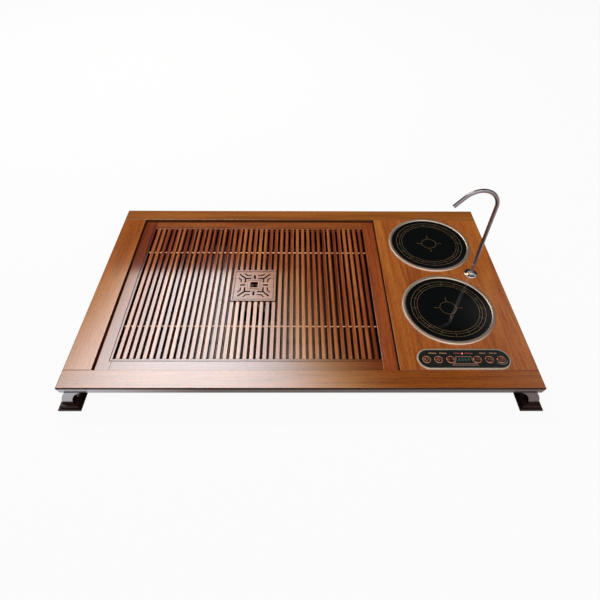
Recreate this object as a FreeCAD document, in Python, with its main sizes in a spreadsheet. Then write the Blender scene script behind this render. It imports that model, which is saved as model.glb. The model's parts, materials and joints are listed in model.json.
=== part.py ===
"""Gongfu tea table with a lift-out slatted tray, two hot plates and a swivelling water spout.

The origin is at floor level under the middle of the table. +X runs along the length towards
the hot plates, +Y runs to the back and +Z is up. All sizes are in millimetres and degrees.
"""
import FreeCAD, Part
import Sketcher
import math
import os
from types import SimpleNamespace

SIZES = {
    # Table as a whole
    "table_length": 900,
    "table_depth": 540,
    "table_height": 62,
    "board_thickness": 18,
    "edge_lip": 3,
    "edge_undercut": 2,
    "edge_round": 1.4,
    "seam_round": 0.7,
    # Boards of the top
    "front_rail_width": 40,
    "back_rail_width": 39,
    "left_stile_width": 54,
    "hob_panel_width": 263,
    "tongue_length": 8,
    "tongue_thickness": 6,
    "joint_gap": 0.05,
    # Bearer strips under the recess
    "bearer_width": 24,
    "bearer_height": 20,
    "bearer_ledge": 12,
    "bearer_end_inset": 66,
    # Wood screws
    "screw_radius": 2,
    "screw_head_radius": 4,
    "screw_head_height": 2.4,
    "screw_bite": 12,
    "screw_gap": 0.05,
    # Corner feet
    "foot_side_inset": 10,
    "foot_front_inset": 3,
    "foot_side_flare": 4.5,
    "foot_front_flare": 1.5,
    "foot_side_belly": 1,
    "foot_front_belly": -1,
    "foot_neck": 16.5,
    "foot_arch_radius": 32,
    "sole_side_reach": 11.5,
    "sole_front_reach": 12.5,
    "sole_inner_reach": 32,
    "sole_height": 9,
    "sole_step": 4,
    "sole_groove": 6,
    "sole_groove_height": 1,
    "sole_round": 1.4,
    "foot_screw_inset": 12,
    "pad_radius": 11,
    "pad_thickness": 3,
    "pad_proud": 1.5,
    # Slatted tray
    "recess_depth": 6.5,
    "tray_gap": 1.2,
    "tray_seat_gap": 0.3,
    "tray_member": 29,
    "tray_tenon_length": 10,
    "tray_tenon_thickness": 4,
    "tray_tenon_width": 18,
    "tray_line_offset": 4.5,
    "tray_line_width": 1.2,
    "tray_line_depth": 1.5,
    "tray_round": 0.8,
    "slot_width": 5.8,
    "slot_spacing": 12.92,
    "slat_tongue": 3,
    "slat_tongue_thickness": 5,
    "rod_radius": 2,
    "rod_offset": 115,
    "rod_bite": 8,
    # Medallion
    "medallion_proud": 2,
    "medallion_border": 5.1,
    "medallion_ledge": 3,
    "medallion_ledge_height": 3,
    "medallion_line": 0.5,
    "medallion_plate_thickness": 6,
    "medallion_plate_sink": 0.4,
    "fret_width": 3.4,
    "fret_thin_width": 2.7,
    "fret_arm_start": 7.5,
    "fret_arm_line": 20.4,
    "fret_tip": 34.6,
    "fret_outer_line": 30,
    "fret_outer_bend": 16.5,
    "fret_outer_tip": 22.5,
    "fret_axis_width": 4.2,
    "fret_axis_start": 19.5,
    "fret_axis_end": 31,
    "eye_half": 8.3,
    "eye_rim": 3.2,
    "eye_rim_height": 0.8,
    "eye_line": 15,
    # Drain pan and spigot
    "sheet": 1.1,
    "pan_gap": 1,
    "pan_depth": 22,
    "spigot_from_left": 112,
    "spigot_radius": 7.5,
    "spigot_bore": 5.8,
    "spigot_drop": 10,
    "spigot_tip_inset": 8,
    "spigot_flange_radius": 9.6,
    "spigot_flange": 1.5,
    "spigot_clearance": 0.5,
    "spigot_nut_radius": 10,
    "spigot_nut_depth": 5,
    "spigot_lead": 1,
    "spigot_hose_radius": 7,
    # Hot plates
    "hob_shift": 6,
    "hob_panel_gap": 10,
    "hob_gap": 14,
    "ring_over_rail": 4,
    "ring_face": 8.6,
    "ring_height": 2.8,
    "ring_collar_inset": 6,
    "ring_collar_wall": 1.6,
    "ring_collar_depth": 14,
    "ring_lip": 3.4,
    "ring_lip_thickness": 1.2,
    "hob_cut_gap": 0.5,
    "glass_thickness": 4,
    "glass_proud": 1.4,
    "glass_gap": 0.3,
    "seal_thickness": 0.4,
    "seal_width": 2.4,
    "coil_inner": 22,
    "coil_rim": 5,
    "coil_thickness": 4,
    "coil_drop": 2,
    "carrier_inset": 24,
    "carrier_thickness": 2.5,
    "carrier_leg_radius": 3,
    "carrier_leg_inset": 9,
    "ferrite_end_gap": 3,
    "ferrite_width": 12,
    "ferrite_thickness": 5,
    "ferrite_start": 24,
    "ferrite_count": 6,
    # Case under the hob panel
    "case_left_inset": 24,
    "case_right_inset": 22,
    "case_end_inset": 50,
    "bay_left_inset": 31,
    "bay_right_inset": 51,
    "bay_front_inset": 36,
    "bay_back_inset": 34,
    "case_clearance": 1.8,
    "case_sheet": 1.2,
    "case_flange": 8,
    "case_screw_radius": 1.7,
    "case_screw_head": 3.4,
    "case_screw_head_height": 2.2,
    "case_screw_bite": 10,
    "vent_width": 3,
    "vent_length": 56,
    "vent_pitch": 7,
    "vent_count": 9,
    # Boards inside the case
    "inverter_depth": 65,
    "inverter_leg_gap": 3.3,
    "inverter_thickness": 1.6,
    "inverter_post": 5,
    "inverter_post_radius": 3,
    "inverter_shift": -0.5,
    "inverter_lift": 2,
    "choke_radius": 11,
    "choke_height": 13,
    "capacitor_depth": 11.5,
    "capacitor_height": 14,
    "sink_depth": 32,
    "sink_base": 3,
    "sink_height": 13,
    "sink_fin": 1.4,
    "sink_fin_count": 8,
    # Fan
    "fan_wall_gap": 0.8,
    "fan_side": 80,
    "fan_height": 15,
    "fan_bore": 37.5,
    "fan_hub_plate": 13,
    "fan_plate": 2,
    "fan_strut": 5,
    "fan_pin_radius": 1.5,
    "fan_pin_gap": 0.05,
    "fan_gap": 0.6,
    "fan_hub": 12.5,
    "fan_hub_height": 10,
    "fan_tip": 35.8,
    "fan_blade": 1.4,
    "fan_blade_swing": 8,
    "fan_blade_count": 7,
    # Control panel
    "panel_shift": 0.5,
    "panel_rail_gap": 1,
    "panel_end": 18.5,
    "panel_width": 48,
    "bezel_face": 3,
    "bezel_height": 2.2,
    "bezel_overlap": 2,
    "bezel_wall": 2.5,
    "bezel_depth": 9,
    "panel_cut_gap": 0.5,
    "face_gap": 0.3,
    "face_thickness": 3,
    "face_top": 1.4,
    "key_row_shift": -1.5,
    "key_display_gap": 1.2,
    "key_pitch": 23,
    "key_radius": 8.6,
    "key_gap": 0.3,
    "key_height": 1.3,
    "key_dome_round": 0.6,
    "key_flange": 1.2,
    "key_flange_thickness": 0.8,
    "key_travel": 0.6,
    "key_stem_radius": 2,
    "switch_side": 6,
    "switch_height": 3.5,
    "board_end": 4,
    "board_width": 33,
    "board_sheet": 1.6,
    "board_drop": 11,
    "board_post_radius": 2,
    "window_width": 11,
    "window_gap": 0.3,
    "window_sink": 0.3,
    "display_length": 30,
    "display_frame": 1,
    "display_width": 16,
    "lamp_radius": 1.5,
    "lamp_gap": 0.2,
    "label_row_shift": 13,
    # Spout and its base
    "spout_from_right": 62,
    "spout_shift": 1,
    "spout_heading": 186,
    "spout_radius": 4,
    "spout_bore": 3.2,
    "spout_rise": 183,
    "spout_bend": 41,
    "spout_sweep": 137.5,
    "spout_tail": 27,
    "spout_foot_depth": 12,
    "swivel_gap": 0.05,
    "base_radius": 15,
    "base_height": 7,
    "base_skirt": 2,
    "base_neck": 7.5,
    "stem_radius": 8.6,
    "stem_gap": 0.4,
    "stem_drop": 24,
    "barb_radius": 4,
    "barb_bore": 2.6,
    "barb_length": 6,
    "nut_width": 26,
    "nut_depth": 5,
    # Pump, hoses and inlets
    "pump_shift": 11,
    "pump_radius": 13,
    "pump_length": 34,
    "pump_head_radius": 15,
    "pump_head_length": 12,
    "pump_lift": 16,
    "port_length": 9,
    "hose_radius": 6,
    "hose_turn_gap": 6.5,
    "hose_run": 40,
    "inlet_reach": 22,
    "inlet_flange_radius": 9,
    "inlet_flange": 2,
    "inlet_hole_gap": 0.3,
    "inlet_lift": 16,
    "gland_from_bay": 32,
    "gland_radius": 8,
    "gland_bore": 3.6,
    "gland_reach": 14,
    "gland_flange_radius": 11,
}

doc = FreeCAD.newDocument("tea_table")
sheet = doc.addObject("Spreadsheet::Sheet", "sizes")
pieces = []


class Size:
    """A number that also carries the sheet expression it comes from."""

    def __init__(self, text, value):
        self.text = text
        self.value = float(value)

    def __float__(self):
        return self.value

    def __add__(self, other):
        other = as_size(other)
        return Size(f"({self.text} + {other.text})", self.value + other.value)

    def __sub__(self, other):
        other = as_size(other)
        return Size(f"({self.text} - {other.text})", self.value - other.value)

    def __mul__(self, other):
        other = as_size(other)
        return Size(f"({self.text} * {other.text})", self.value * other.value)

    def __truediv__(self, other):
        other = as_size(other)
        return Size(f"({self.text} / {other.text})", self.value / other.value)

    def __neg__(self):
        return Size(f"(0 - {self.text})", -self.value)

    def __radd__(self, other):
        return as_size(other) + self

    def __rsub__(self, other):
        return as_size(other) - self

    def __rmul__(self, other):
        return as_size(other) * self


def as_size(value):
    if isinstance(value, Size):
        return value
    return Size(repr(round(float(value), 6)) if value >= 0 else f"(0 - {round(-float(value), 6)!r})", value)


def sine(angle):
    angle = as_size(angle)
    return Size(f"sin({angle.text} * 1deg)", math.sin(math.radians(angle.value)))


def cosine(angle):
    angle = as_size(angle)
    return Size(f"cos({angle.text} * 1deg)", math.cos(math.radians(angle.value)))


def fill_sheet():
    """Writes each driving size to its cell and returns them by name."""
    named = SimpleNamespace()
    for row, (name, value) in enumerate(SIZES.items(), start=1):
        cell = f"A{row}"
        sheet.set(cell, str(value))
        sheet.setAlias(cell, name)
        setattr(named, name, Size(f"sizes.{name}", value))
    doc.recompute()
    return named


s = fill_sheet()


# Tools for building: every length goes in as a Size and is bound to the sheet

def bind(thing, **properties):
    for name, size in properties.items():
        thing.setExpression(name, as_size(size).text)
    return thing


def seat(thing, x, y, z):
    for axis, size in zip("xyz", (x, y, z)):
        thing.setExpression(f"Placement.Base.{axis}", as_size(size).text)
    return thing


def point(x, y, z=0):
    return FreeCAD.Vector(float(x), float(y), float(z))


def block(name, x_range, y_range, z_range):
    """A box between two corners, given as a range along each axis."""
    box = doc.addObject("Part::Box", name)
    (x0, x1), (y0, y1), (z0, z1) = x_range, y_range, z_range
    bind(box, Length=x1 - x0, Width=y1 - y0, Height=z1 - z0)
    return seat(box, x0, y0, z0)


def post(name, x, y, z, radius, height):
    """An upright cylinder standing on z."""
    cylinder = doc.addObject("Part::Cylinder", name)
    bind(cylinder, Radius=radius, Height=height)
    return seat(cylinder, x, y, z)


def bar_along_y(name, x, y, z, radius, length):
    """A cylinder that lies along +Y from y."""
    cylinder = doc.addObject("Part::Cylinder", name)
    cylinder.Placement = FreeCAD.Placement(point(0, 0, 0), FreeCAD.Rotation(point(1, 0, 0), -90))
    bind(cylinder, Radius=radius, Height=length)
    return seat(cylinder, x, y, z)


def bar_along_x(name, x, y, z, radius, length):
    """A cylinder that lies along +X from x."""
    cylinder = doc.addObject("Part::Cylinder", name)
    cylinder.Placement = FreeCAD.Placement(point(0, 0, 0), FreeCAD.Rotation(point(0, 1, 0), 90))
    bind(cylinder, Radius=radius, Height=length)
    return seat(cylinder, x, y, z)


def stadium(name, x, y, z, length, width, height):
    """An upright plate with two straight sides and two round ends."""
    straight = length - width
    middle = block(f"{name}_middle", (x - straight / 2, x + straight / 2),
                   (y - width / 2, y + width / 2), (z, z + height))
    ends = [post(f"{name}_end", x + side * straight / 2, y, z, width / 2, height) for side in (-1, 1)]
    return fuse(name, [middle] + ends)


def fuse(name, shapes):
    result = doc.addObject("Part::MultiFuse", name)
    result.Shapes = shapes
    result.Refine = True
    return result


def gather(name, shapes):
    result = doc.addObject("Part::Compound", name)
    result.Links = shapes
    return result


def cut(name, base, *tools):
    result = doc.addObject("Part::Cut", name)
    result.Base = base
    result.Tool = tools[0] if len(tools) == 1 else fuse(f"{name}_tools", list(tools))
    result.Refine = True
    return result


def tie(sketch, kind, geometry, vertex, size):
    """Holds one vertex of a sketch at a distance from the sketch's origin."""
    size = as_size(size)
    index = sketch.addConstraint(Sketcher.Constraint(kind, -1, 1, geometry, vertex, size.value))
    sketch.setExpression(f"Constraints[{index}]", size.text)


def tie_point(sketch, geometry, vertex, a, b):
    tie(sketch, "DistanceX", geometry, vertex, a)
    tie(sketch, "DistanceY", geometry, vertex, b)


def add_outline(sketch, corners):
    """A closed outline of straight lines with every corner tied to the sheet."""
    first = sketch.GeometryCount
    count = len(corners)
    spots = [point(a, b) for a, b in corners]
    for index in range(count):
        sketch.addGeometry(Part.LineSegment(spots[index], spots[(index + 1) % count]), False)
    for index in range(count):
        sketch.addConstraint(Sketcher.Constraint("Coincident", first + index, 2, first + (index + 1) % count, 1))
    for index, (a, b) in enumerate(corners):
        tie_point(sketch, first + index, 1, a, b)
    return sketch


def add_circle(sketch, a, b, radius):
    first = sketch.GeometryCount
    sketch.addGeometry(Part.Circle(point(a, b), point(0, 0, 1), float(radius)), False)
    tie_point(sketch, first, 3, a, b)
    index = sketch.addConstraint(Sketcher.Constraint("Radius", first, float(radius)))
    sketch.setExpression(f"Constraints[{index}]", as_size(radius).text)
    return sketch


def rectangle(a_range, b_range):
    (a0, a1), (b0, b1) = a_range, b_range
    return [(a0, b0), (a1, b0), (a1, b1), (a0, b1)]


PLANE_TURNS = {
    "XY": FreeCAD.Rotation(),
    "XZ": FreeCAD.Rotation(point(1, 0, 0), 90),
    "YZ": FreeCAD.Rotation(point(1, 1, 1), 120),
}


def prism(name, plane, corners, start, length):
    """A straight outline pushed square to its plane, from start towards the positive side."""
    sketch = doc.addObject("Sketcher::SketchObject", f"{name}_outline")
    sketch.Placement = FreeCAD.Placement(point(0, 0, 0), PLANE_TURNS[plane])
    add_outline(sketch, corners)
    axis = {"XY": "z", "XZ": "y", "YZ": "x"}[plane]
    sketch.setExpression(f"Placement.Base.{axis}", as_size(start).text)
    push = doc.addObject("Part::Extrusion", name)
    push.Base = sketch
    push.DirMode = "Normal"
    push.Solid = True
    push.Reversed = plane == "XZ"
    return bind(push, LengthFwd=length)


def new_body(label):
    return doc.addObject("PartDesign::Body", label)


def plane_of(body, role):
    return next(feature for feature in body.Origin.OriginFeatures if feature.Role == role)


def sketch_on(body, role, name, offset=0):
    """A sketch on one of the body's own origin planes, lifted along its normal."""
    sketch = body.newObject("Sketcher::SketchObject", name)
    sketch.AttachmentSupport = [(plane_of(body, role), "")]
    sketch.MapMode = "FlatFace"
    sketch.setExpression("AttachmentOffset.Base.z", as_size(offset).text)
    return sketch


def pad(body, sketch, name, length):
    feature = body.newObject("PartDesign::Pad", name)
    feature.Profile = sketch
    return bind(feature, Length=length)


def pocket(body, sketch, name, depth, upward=False):
    """A pocket below its sketch, or above it; the volume is compared later."""
    feature = body.newObject("PartDesign::Pocket", name)
    feature.Profile = sketch
    feature.Reversed = upward
    bind(feature, Length=depth)
    before = feature.BaseFeature
    pocket_checks.append((feature, before))
    return feature


pocket_checks = []


def revolve(body, sketch, name):
    feature = body.newObject("PartDesign::Revolution", name)
    feature.Profile = sketch
    feature.ReferenceAxis = (sketch, ["V_Axis"])
    feature.Angle = 360
    return feature


def turned(label, corners):
    """A body turned about its own Z axis from an outline in radius and height."""
    body = new_body(label)
    sketch = sketch_on(body, "XZ_Plane", f"{label}_profile")
    add_outline(sketch, corners)
    revolve(body, sketch, f"{label}_turning")
    return body


def edges_where(shape, test):
    """Numbers of the edges whose two end points both pass the test."""
    found = []
    for number, edge in enumerate(shape.Edges, start=1):
        if all(test(vertex.Point) for vertex in edge.Vertexes):
            found.append(number)
    return found


def rounded(name, base, radius, tests):
    """Rounds every straight edge of the base that one of the tests picks."""
    doc.recompute()
    numbers = sorted({number for test in tests for number in edges_where(base.Shape, test)})
    result = doc.addObject("Part::Fillet", name)
    result.Base = base
    result.Edges = [(number, float(radius), float(radius)) for number in numbers]
    return result


def near(a, b):
    return abs(float(a) - float(b)) < 1e-4


def keep(thing, label):
    """Marks a finished piece and gives it the name of its node."""
    thing.Label = label
    pieces.append(thing)
    return thing


def fixed_shape(label, shape, x=0, y=0, z=0):
    """A piece whose form is worked out here, placed afterwards."""
    feature = doc.addObject("Part::Feature", label)
    feature.Shape = shape
    feature.Placement = FreeCAD.Placement(point(x, y, z), FreeCAD.Rotation())
    return keep(feature, label)


# Places that several pieces share

def from_left(distance):
    return as_size(distance) - s.table_length / 2


def from_front(distance):
    return as_size(distance) - s.table_depth / 2


left, right = from_left(0), from_left(s.table_length)
front, back = from_front(0), from_front(s.table_depth)
top = s.table_height
underside = top - s.board_thickness

recess_left = from_left(s.left_stile_width)
recess_right = right - s.hob_panel_width
recess_front = front + s.front_rail_width
recess_back = back - s.back_rail_width
recess_x = (recess_left + recess_right) / 2
recess_y = (recess_front + recess_back) / 2

tray_left = recess_left + s.tray_gap
tray_right = recess_right - s.tray_gap
tray_front = recess_front + s.tray_gap
tray_back = recess_back - s.tray_gap
tray_top = top - s.recess_depth
tray_bottom = underside + s.sheet + s.tray_seat_gap
tray_middle = (tray_top + tray_bottom) / 2
field_left = tray_left + s.tray_member
field_right = tray_right - s.tray_member
field_front = tray_front + s.tray_member
field_back = tray_back - s.tray_member
MEDALLION_SLATS = 8
slot_run = field_right - field_left - s.slot_width
SLOT_COUNT = 2 * round(float(slot_run / s.slot_spacing) / 2) + 1
slot_pitch = slot_run / (SLOT_COUNT - 1)
slat_width = slot_pitch - s.slot_width
medallion_side = slot_pitch * MEDALLION_SLATS - s.slot_width
medallion_top = tray_top + s.medallion_proud

panel_y = recess_front + s.panel_rail_gap + s.panel_width / 2
hob_x = (recess_right + right) / 2 - s.hob_shift
rings_front = panel_y + s.panel_width / 2 + s.hob_panel_gap
rings_back = recess_back + s.ring_over_rail
ring_radius = (rings_back - rings_front - s.hob_gap) / 4
ring_collar = ring_radius - s.ring_collar_inset
hob_places = {"front": rings_front + ring_radius, "rear": rings_back - ring_radius}
between_hobs = (hob_places["front"] + hob_places["rear"]) / 2 + s.spout_shift
glass_top = top + s.glass_proud
glass_bottom = glass_top - s.glass_thickness
coil_top = glass_bottom - s.coil_drop
carrier_top = coil_top - s.coil_thickness
carrier_bottom = carrier_top - s.carrier_thickness
carrier_radius = ring_radius - s.carrier_inset
leg_circle = carrier_radius - s.carrier_leg_inset

case_left = recess_right + s.case_left_inset
case_right = right - s.case_right_inset
case_front = front + s.case_end_inset
case_back = back - s.case_end_inset
bay_left = recess_right + s.bay_left_inset
bay_right = right - s.bay_right_inset
bay_front = front + s.bay_front_inset
bay_back = back - s.bay_back_inset
case_height = s.case_sheet + s.pump_lift + s.pump_head_radius + s.case_clearance
case_bottom = underside - case_height
case_floor = case_bottom + s.case_sheet

panel_x = hob_x + s.panel_shift
key_y = panel_y + s.key_row_shift
lamp_y = panel_y + s.label_row_shift
face_top = top + s.face_top
face_bottom = face_top - s.face_thickness
board_top = top - s.board_drop
key_first = s.display_length / 2 + s.key_display_gap + s.key_radius + s.key_flange
key_last = key_first + 2 * s.key_pitch
key_places = [panel_x + side * (key_first + s.key_pitch * step)
              for side, steps in ((-1, (2, 1, 0)), (1, (0, 1, 2))) for step in steps]
panel_length = 2 * (key_last + s.panel_end)
board_length = 2 * (key_last + s.board_end)
window_length = s.display_length - 2 * s.display_frame

spout_x = right - s.spout_from_right
spout_y = between_hobs


# Wooden top

def undercut_along_x(name, edge, outward):
    """The sloping waste below the lip of a long edge; outward is -1 at the front and 1 at the back."""
    lip = top - s.edge_lip
    corners = [(edge + outward * s.edge_undercut, lip), (edge, lip),
               (edge - outward * s.edge_undercut, underside), (edge + outward * s.edge_undercut, underside)]
    return prism(name, "YZ", corners, left - s.edge_undercut, s.table_length + 2 * s.edge_undercut)


def undercut_along_y(name, edge, outward):
    """The same waste along an end of the table; outward is -1 at the left and 1 at the right."""
    lip = top - s.edge_lip
    corners = [(edge + outward * s.edge_undercut, lip), (edge, lip),
               (edge - outward * s.edge_undercut, underside), (edge + outward * s.edge_undercut, underside)]
    return prism(name, "XZ", corners, front - s.edge_undercut, s.table_depth + 2 * s.edge_undercut)


front_waste = undercut_along_x("front_waste", front, -1)
back_waste = undercut_along_x("back_waste", back, 1)
left_waste = undercut_along_y("left_waste", left, -1)
right_waste = undercut_along_y("right_waste", right, 1)

tongue_z = (top + underside) / 2
half_tongue = s.tongue_thickness / 2
half_groove = half_tongue + s.joint_gap


def top_edge_at(axis, place):
    """Picks edges that lie in the top face along one straight line."""
    def test(spot):
        return near(spot.z, top) and near(getattr(spot, axis), place)
    return test


def rail_grooves(name, edge, inward):
    """Two grooves in a rail's inner edge, one for the stile and one for the hob panel."""
    reach = edge - inward * (s.tongue_length + s.joint_gap)
    y_range = (reach, edge + inward) if inward > 0 else (edge + inward, reach)
    z_range = (tongue_z - half_groove, tongue_z + half_groove)
    stile_run = (left + s.foot_side_inset, recess_left)
    panel_run = (recess_right, right - s.foot_side_inset)
    return [block(f"{name}_groove", run, y_range, z_range) for run in (stile_run, panel_run)]


bearer_left_x = recess_left - (s.bearer_width - s.bearer_ledge)
bearer_right_x = recess_right + (s.bearer_width - s.bearer_ledge)
bearer_front_y = recess_front - (s.bearer_width - s.bearer_ledge)
bearer_back_y = recess_back + (s.bearer_width - s.bearer_ledge)
bearer_bottom = underside - s.bearer_height
screw_line = (s.bearer_width - s.bearer_ledge) / 2


def bearer_screw_places():
    """Where the bearers are screwed up into the boards, by bearer."""
    along_x = [recess_x + (recess_right - recess_left) * share for share in (-0.36, -0.12, 0.12, 0.36)]
    along_y = [recess_y + (recess_back - recess_front) * share for share in (-0.3, 0, 0.3)]
    return {
        "front": [(x, bearer_front_y + screw_line) for x in along_x],
        "back": [(x, bearer_back_y - screw_line) for x in along_x],
        "left": [(bearer_left_x + screw_line, y) for y in along_y],
        "middle": [(bearer_right_x - screw_line, y) for y in along_y],
    }


screw_places = bearer_screw_places()
foot_screw_x = s.table_length / 2 - s.foot_screw_inset
foot_screw_y = s.table_depth / 2 - s.foot_screw_inset
foot_screw_places = [(side * foot_screw_x, end * foot_screw_y) for side in (-1, 1) for end in (-1, 1)]


def pilots(name, places, radius, bite):
    """Holes for screws in the underside of a board."""
    return [post(f"{name}_pilot", x, y, underside - bite, radius + s.screw_gap, bite * 2) for x, y in places]


def board(label, base, wastes, places, rounds):
    """Cuts the waste and the screw holes from a board and rounds its top edges."""
    holes = pilots(label, places, s.screw_radius, s.screw_bite)
    shaped = cut(f"{label}_shaped", base, *wastes, *holes)
    outer, seams = rounds
    eased = rounded(f"{label}_outer_edges", shaped, s.edge_round, outer)
    return keep(rounded(f"{label}_eased", eased, s.seam_round, seams), label)


def make_rails():
    across = (left, right)
    z_range = (underside, top)
    front_feet = [place for place in foot_screw_places if float(place[1]) < 0]
    back_feet = [place for place in foot_screw_places if float(place[1]) > 0]
    base = block("front_rail_blank", across, (front, recess_front), z_range)
    board("front_rail", base, [front_waste, left_waste, right_waste, *rail_grooves("front", recess_front, 1)],
          screw_places["front"] + front_feet,
          ([top_edge_at("y", front), top_edge_at("x", left), top_edge_at("x", right)],
           [top_edge_at("y", recess_front)]))
    base = block("back_rail_blank", across, (recess_back, back), z_range)
    board("back_rail", base, [back_waste, left_waste, right_waste, *rail_grooves("back", recess_back, -1)],
          screw_places["back"] + back_feet,
          ([top_edge_at("y", back), top_edge_at("x", left), top_edge_at("x", right)],
           [top_edge_at("y", recess_back)]))


def tongued(name, x_range, tongue_x_range):
    """A board between the rails with a tongue on each end."""
    gap = s.joint_gap
    blank = block(f"{name}_blank", x_range, (recess_front + gap, recess_back - gap), (underside, top))
    tongue = block(f"{name}_tongue", tongue_x_range,
                   (recess_front - s.tongue_length, recess_back + s.tongue_length),
                   (tongue_z - half_tongue, tongue_z + half_tongue))
    return fuse(f"{name}_tongued", [blank, tongue])


def make_left_stile():
    tongue_range = (left + s.foot_side_inset + s.joint_gap, recess_left - s.joint_gap)
    blank = tongued("left_stile", (left, recess_left), tongue_range)
    board("left_stile", blank, [left_waste], screw_places["left"],
          ([top_edge_at("x", left)],
           [top_edge_at("x", recess_left), top_edge_at("y", recess_front + s.joint_gap),
            top_edge_at("y", recess_back - s.joint_gap)]))


def case_screw_places():
    """Rows of screws through the case flange at its two long sides."""
    rows = [case_front + (case_back - case_front) * share for share in (0.07, 0.36, 0.64, 0.93)]
    sides = (case_left - s.case_flange / 2, case_right + s.case_flange / 2)
    return [(x, y) for x in sides for y in rows]


def make_hob_panel():
    gap = s.joint_gap
    blank = tongued("hob_panel", (recess_right, right), (recess_right + gap, right - s.foot_side_inset - gap))
    through = s.board_thickness * 2
    holes = [post(f"{name}_hob_hole", hob_x, y, underside - 1, ring_collar + s.hob_cut_gap, through)
             for name, y in hob_places.items()]
    holes.append(post("spout_hole", spout_x, spout_y, underside - 1, s.stem_radius + s.stem_gap, through))
    holes.append(stadium("panel_hole", panel_x, panel_y, underside - 1,
                         panel_length - 2 * s.bezel_overlap + 2 * s.panel_cut_gap,
                         s.panel_width - 2 * s.bezel_overlap + 2 * s.panel_cut_gap, through))
    holes += [post("case_pilot", x, y, underside - s.case_screw_bite, s.case_screw_radius + s.screw_gap,
                   s.case_screw_bite * 2) for x, y in case_screw_places()]
    board("hob_panel", blank, [right_waste, *holes], screw_places["middle"],
          ([top_edge_at("x", right)],
           [top_edge_at("x", recess_right), top_edge_at("y", recess_front + gap),
            top_edge_at("y", recess_back - gap)]))


def make_bearers():
    z_range = (bearer_bottom, underside)
    run_x = (left + s.bearer_end_inset, bearer_right_x)
    run_y = (bearer_front_y + s.bearer_width + s.joint_gap, bearer_back_y - s.bearer_width - s.joint_gap)
    blanks = {
        "front": block("front_bearer_blank", run_x, (bearer_front_y, bearer_front_y + s.bearer_width), z_range),
        "back": block("back_bearer_blank", run_x, (bearer_back_y - s.bearer_width, bearer_back_y), z_range),
        "left": block("left_bearer_blank", (bearer_left_x, bearer_left_x + s.bearer_width),
                      (front + s.bearer_end_inset, back - s.bearer_end_inset), z_range),
        "middle": block("middle_bearer_blank", (bearer_right_x - s.bearer_width, bearer_right_x), run_y, z_range),
    }
    for name, blank in blanks.items():
        tools = []
        for x, y in screw_places[name]:
            tools.append(post(f"{name}_screw_hole", x, y, bearer_bottom - 1, s.screw_radius + s.screw_gap,
                              s.bearer_height + 2))
            tools.append(post(f"{name}_head_hole", x, y, bearer_bottom - 1, s.screw_head_radius + s.screw_gap,
                              s.screw_head_height + 1))
        if name == "back":
            tools.append(bar_along_y("spigot_passage", spigot_x, bearer_back_y - s.bearer_width - 1, spigot_z,
                                     s.spigot_nut_radius + s.spigot_clearance, s.bearer_width + 2))
        keep(cut(f"{name}_bearer_cut", blank, *tools), f"{name}_bearer")


def screw(name, x, y, z, shank, length, head_radius, head_height):
    """A screw driven upwards, with a flat round head that starts at z."""
    return fuse(name, [post(f"{name}_head", x, y, z, head_radius, head_height),
                       post(f"{name}_shank", x, y, z + head_height, shank, length - head_height)])


def make_bearer_screws():
    length = s.bearer_height + s.screw_bite - 1
    screws = [screw("bearer_screw", x, y, bearer_bottom, s.screw_radius, length, s.screw_head_radius,
                    s.screw_head_height)
              for places in screw_places.values() for x, y in places]
    keep(gather("bearer_screw_set", screws), "bearer_screws")


# Corner feet

sole_bottom = s.pad_proud
sole_top = sole_bottom + s.sole_height
foot_half_x = s.table_length / 2
foot_half_y = s.table_depth / 2


def foot_profile(inset, belly, flare):
    """The face of a foot: a swelling outer edge and a quarter-round arch, as wire edges.

    Distances are measured inwards from the table's edge and up from the sole.
    """
    height = float(underside - sole_top)
    arch = float(s.foot_arch_radius)
    neck = float(s.foot_neck)
    knee = height - arch
    outer = Part.Arc(FreeCAD.Vector(float(inset), 0, height), FreeCAD.Vector(-float(belly), 0, height * 0.45),
                     FreeCAD.Vector(-float(flare), 0, 0))
    across_arch = arch * math.sqrt(0.5)
    inner = Part.Arc(FreeCAD.Vector(neck, 0, knee),
                     FreeCAD.Vector(neck + arch - across_arch, 0, knee + across_arch),
                     FreeCAD.Vector(neck + arch, 0, height))
    lines = [Part.LineSegment(outer.EndPoint, FreeCAD.Vector(neck, 0, 0)),
             Part.LineSegment(FreeCAD.Vector(neck, 0, 0), inner.StartPoint),
             Part.LineSegment(inner.EndPoint, outer.StartPoint)]
    edges = [outer.toShape(), lines[0].toShape(), lines[1].toShape(), inner.toShape(), lines[2].toShape()]
    return Part.Face(Part.Wire(Part.__sortEdges__(edges)))


def foot_column():
    """Where the side face and the front face of a foot cross, for the front left corner."""
    reach = float(s.foot_neck + s.foot_arch_radius) + 20
    side = foot_profile(s.foot_side_inset, s.foot_side_belly, s.foot_side_flare)
    side = side.translated(FreeCAD.Vector(0, -20, 0)).extrude(FreeCAD.Vector(0, reach + 20, 0))
    face = foot_profile(s.foot_front_inset, s.foot_front_belly, s.foot_front_flare)
    face.rotate(FreeCAD.Vector(0, 0, 0), FreeCAD.Vector(0, 0, 1), 90)
    face = face.translated(FreeCAD.Vector(-20, 0, 0)).extrude(FreeCAD.Vector(reach + 20, 0, 0))
    return side.common(face)


def sole_slab(name, step, z, height):
    """One square step of the sole, held back from its full reach by step."""
    x_range = (left - s.sole_side_reach + step, left + s.sole_inner_reach - step)
    y_range = (front - s.sole_front_reach + step, front + s.sole_inner_reach - step)
    return block(name, x_range, y_range, (z, z + height))


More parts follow.
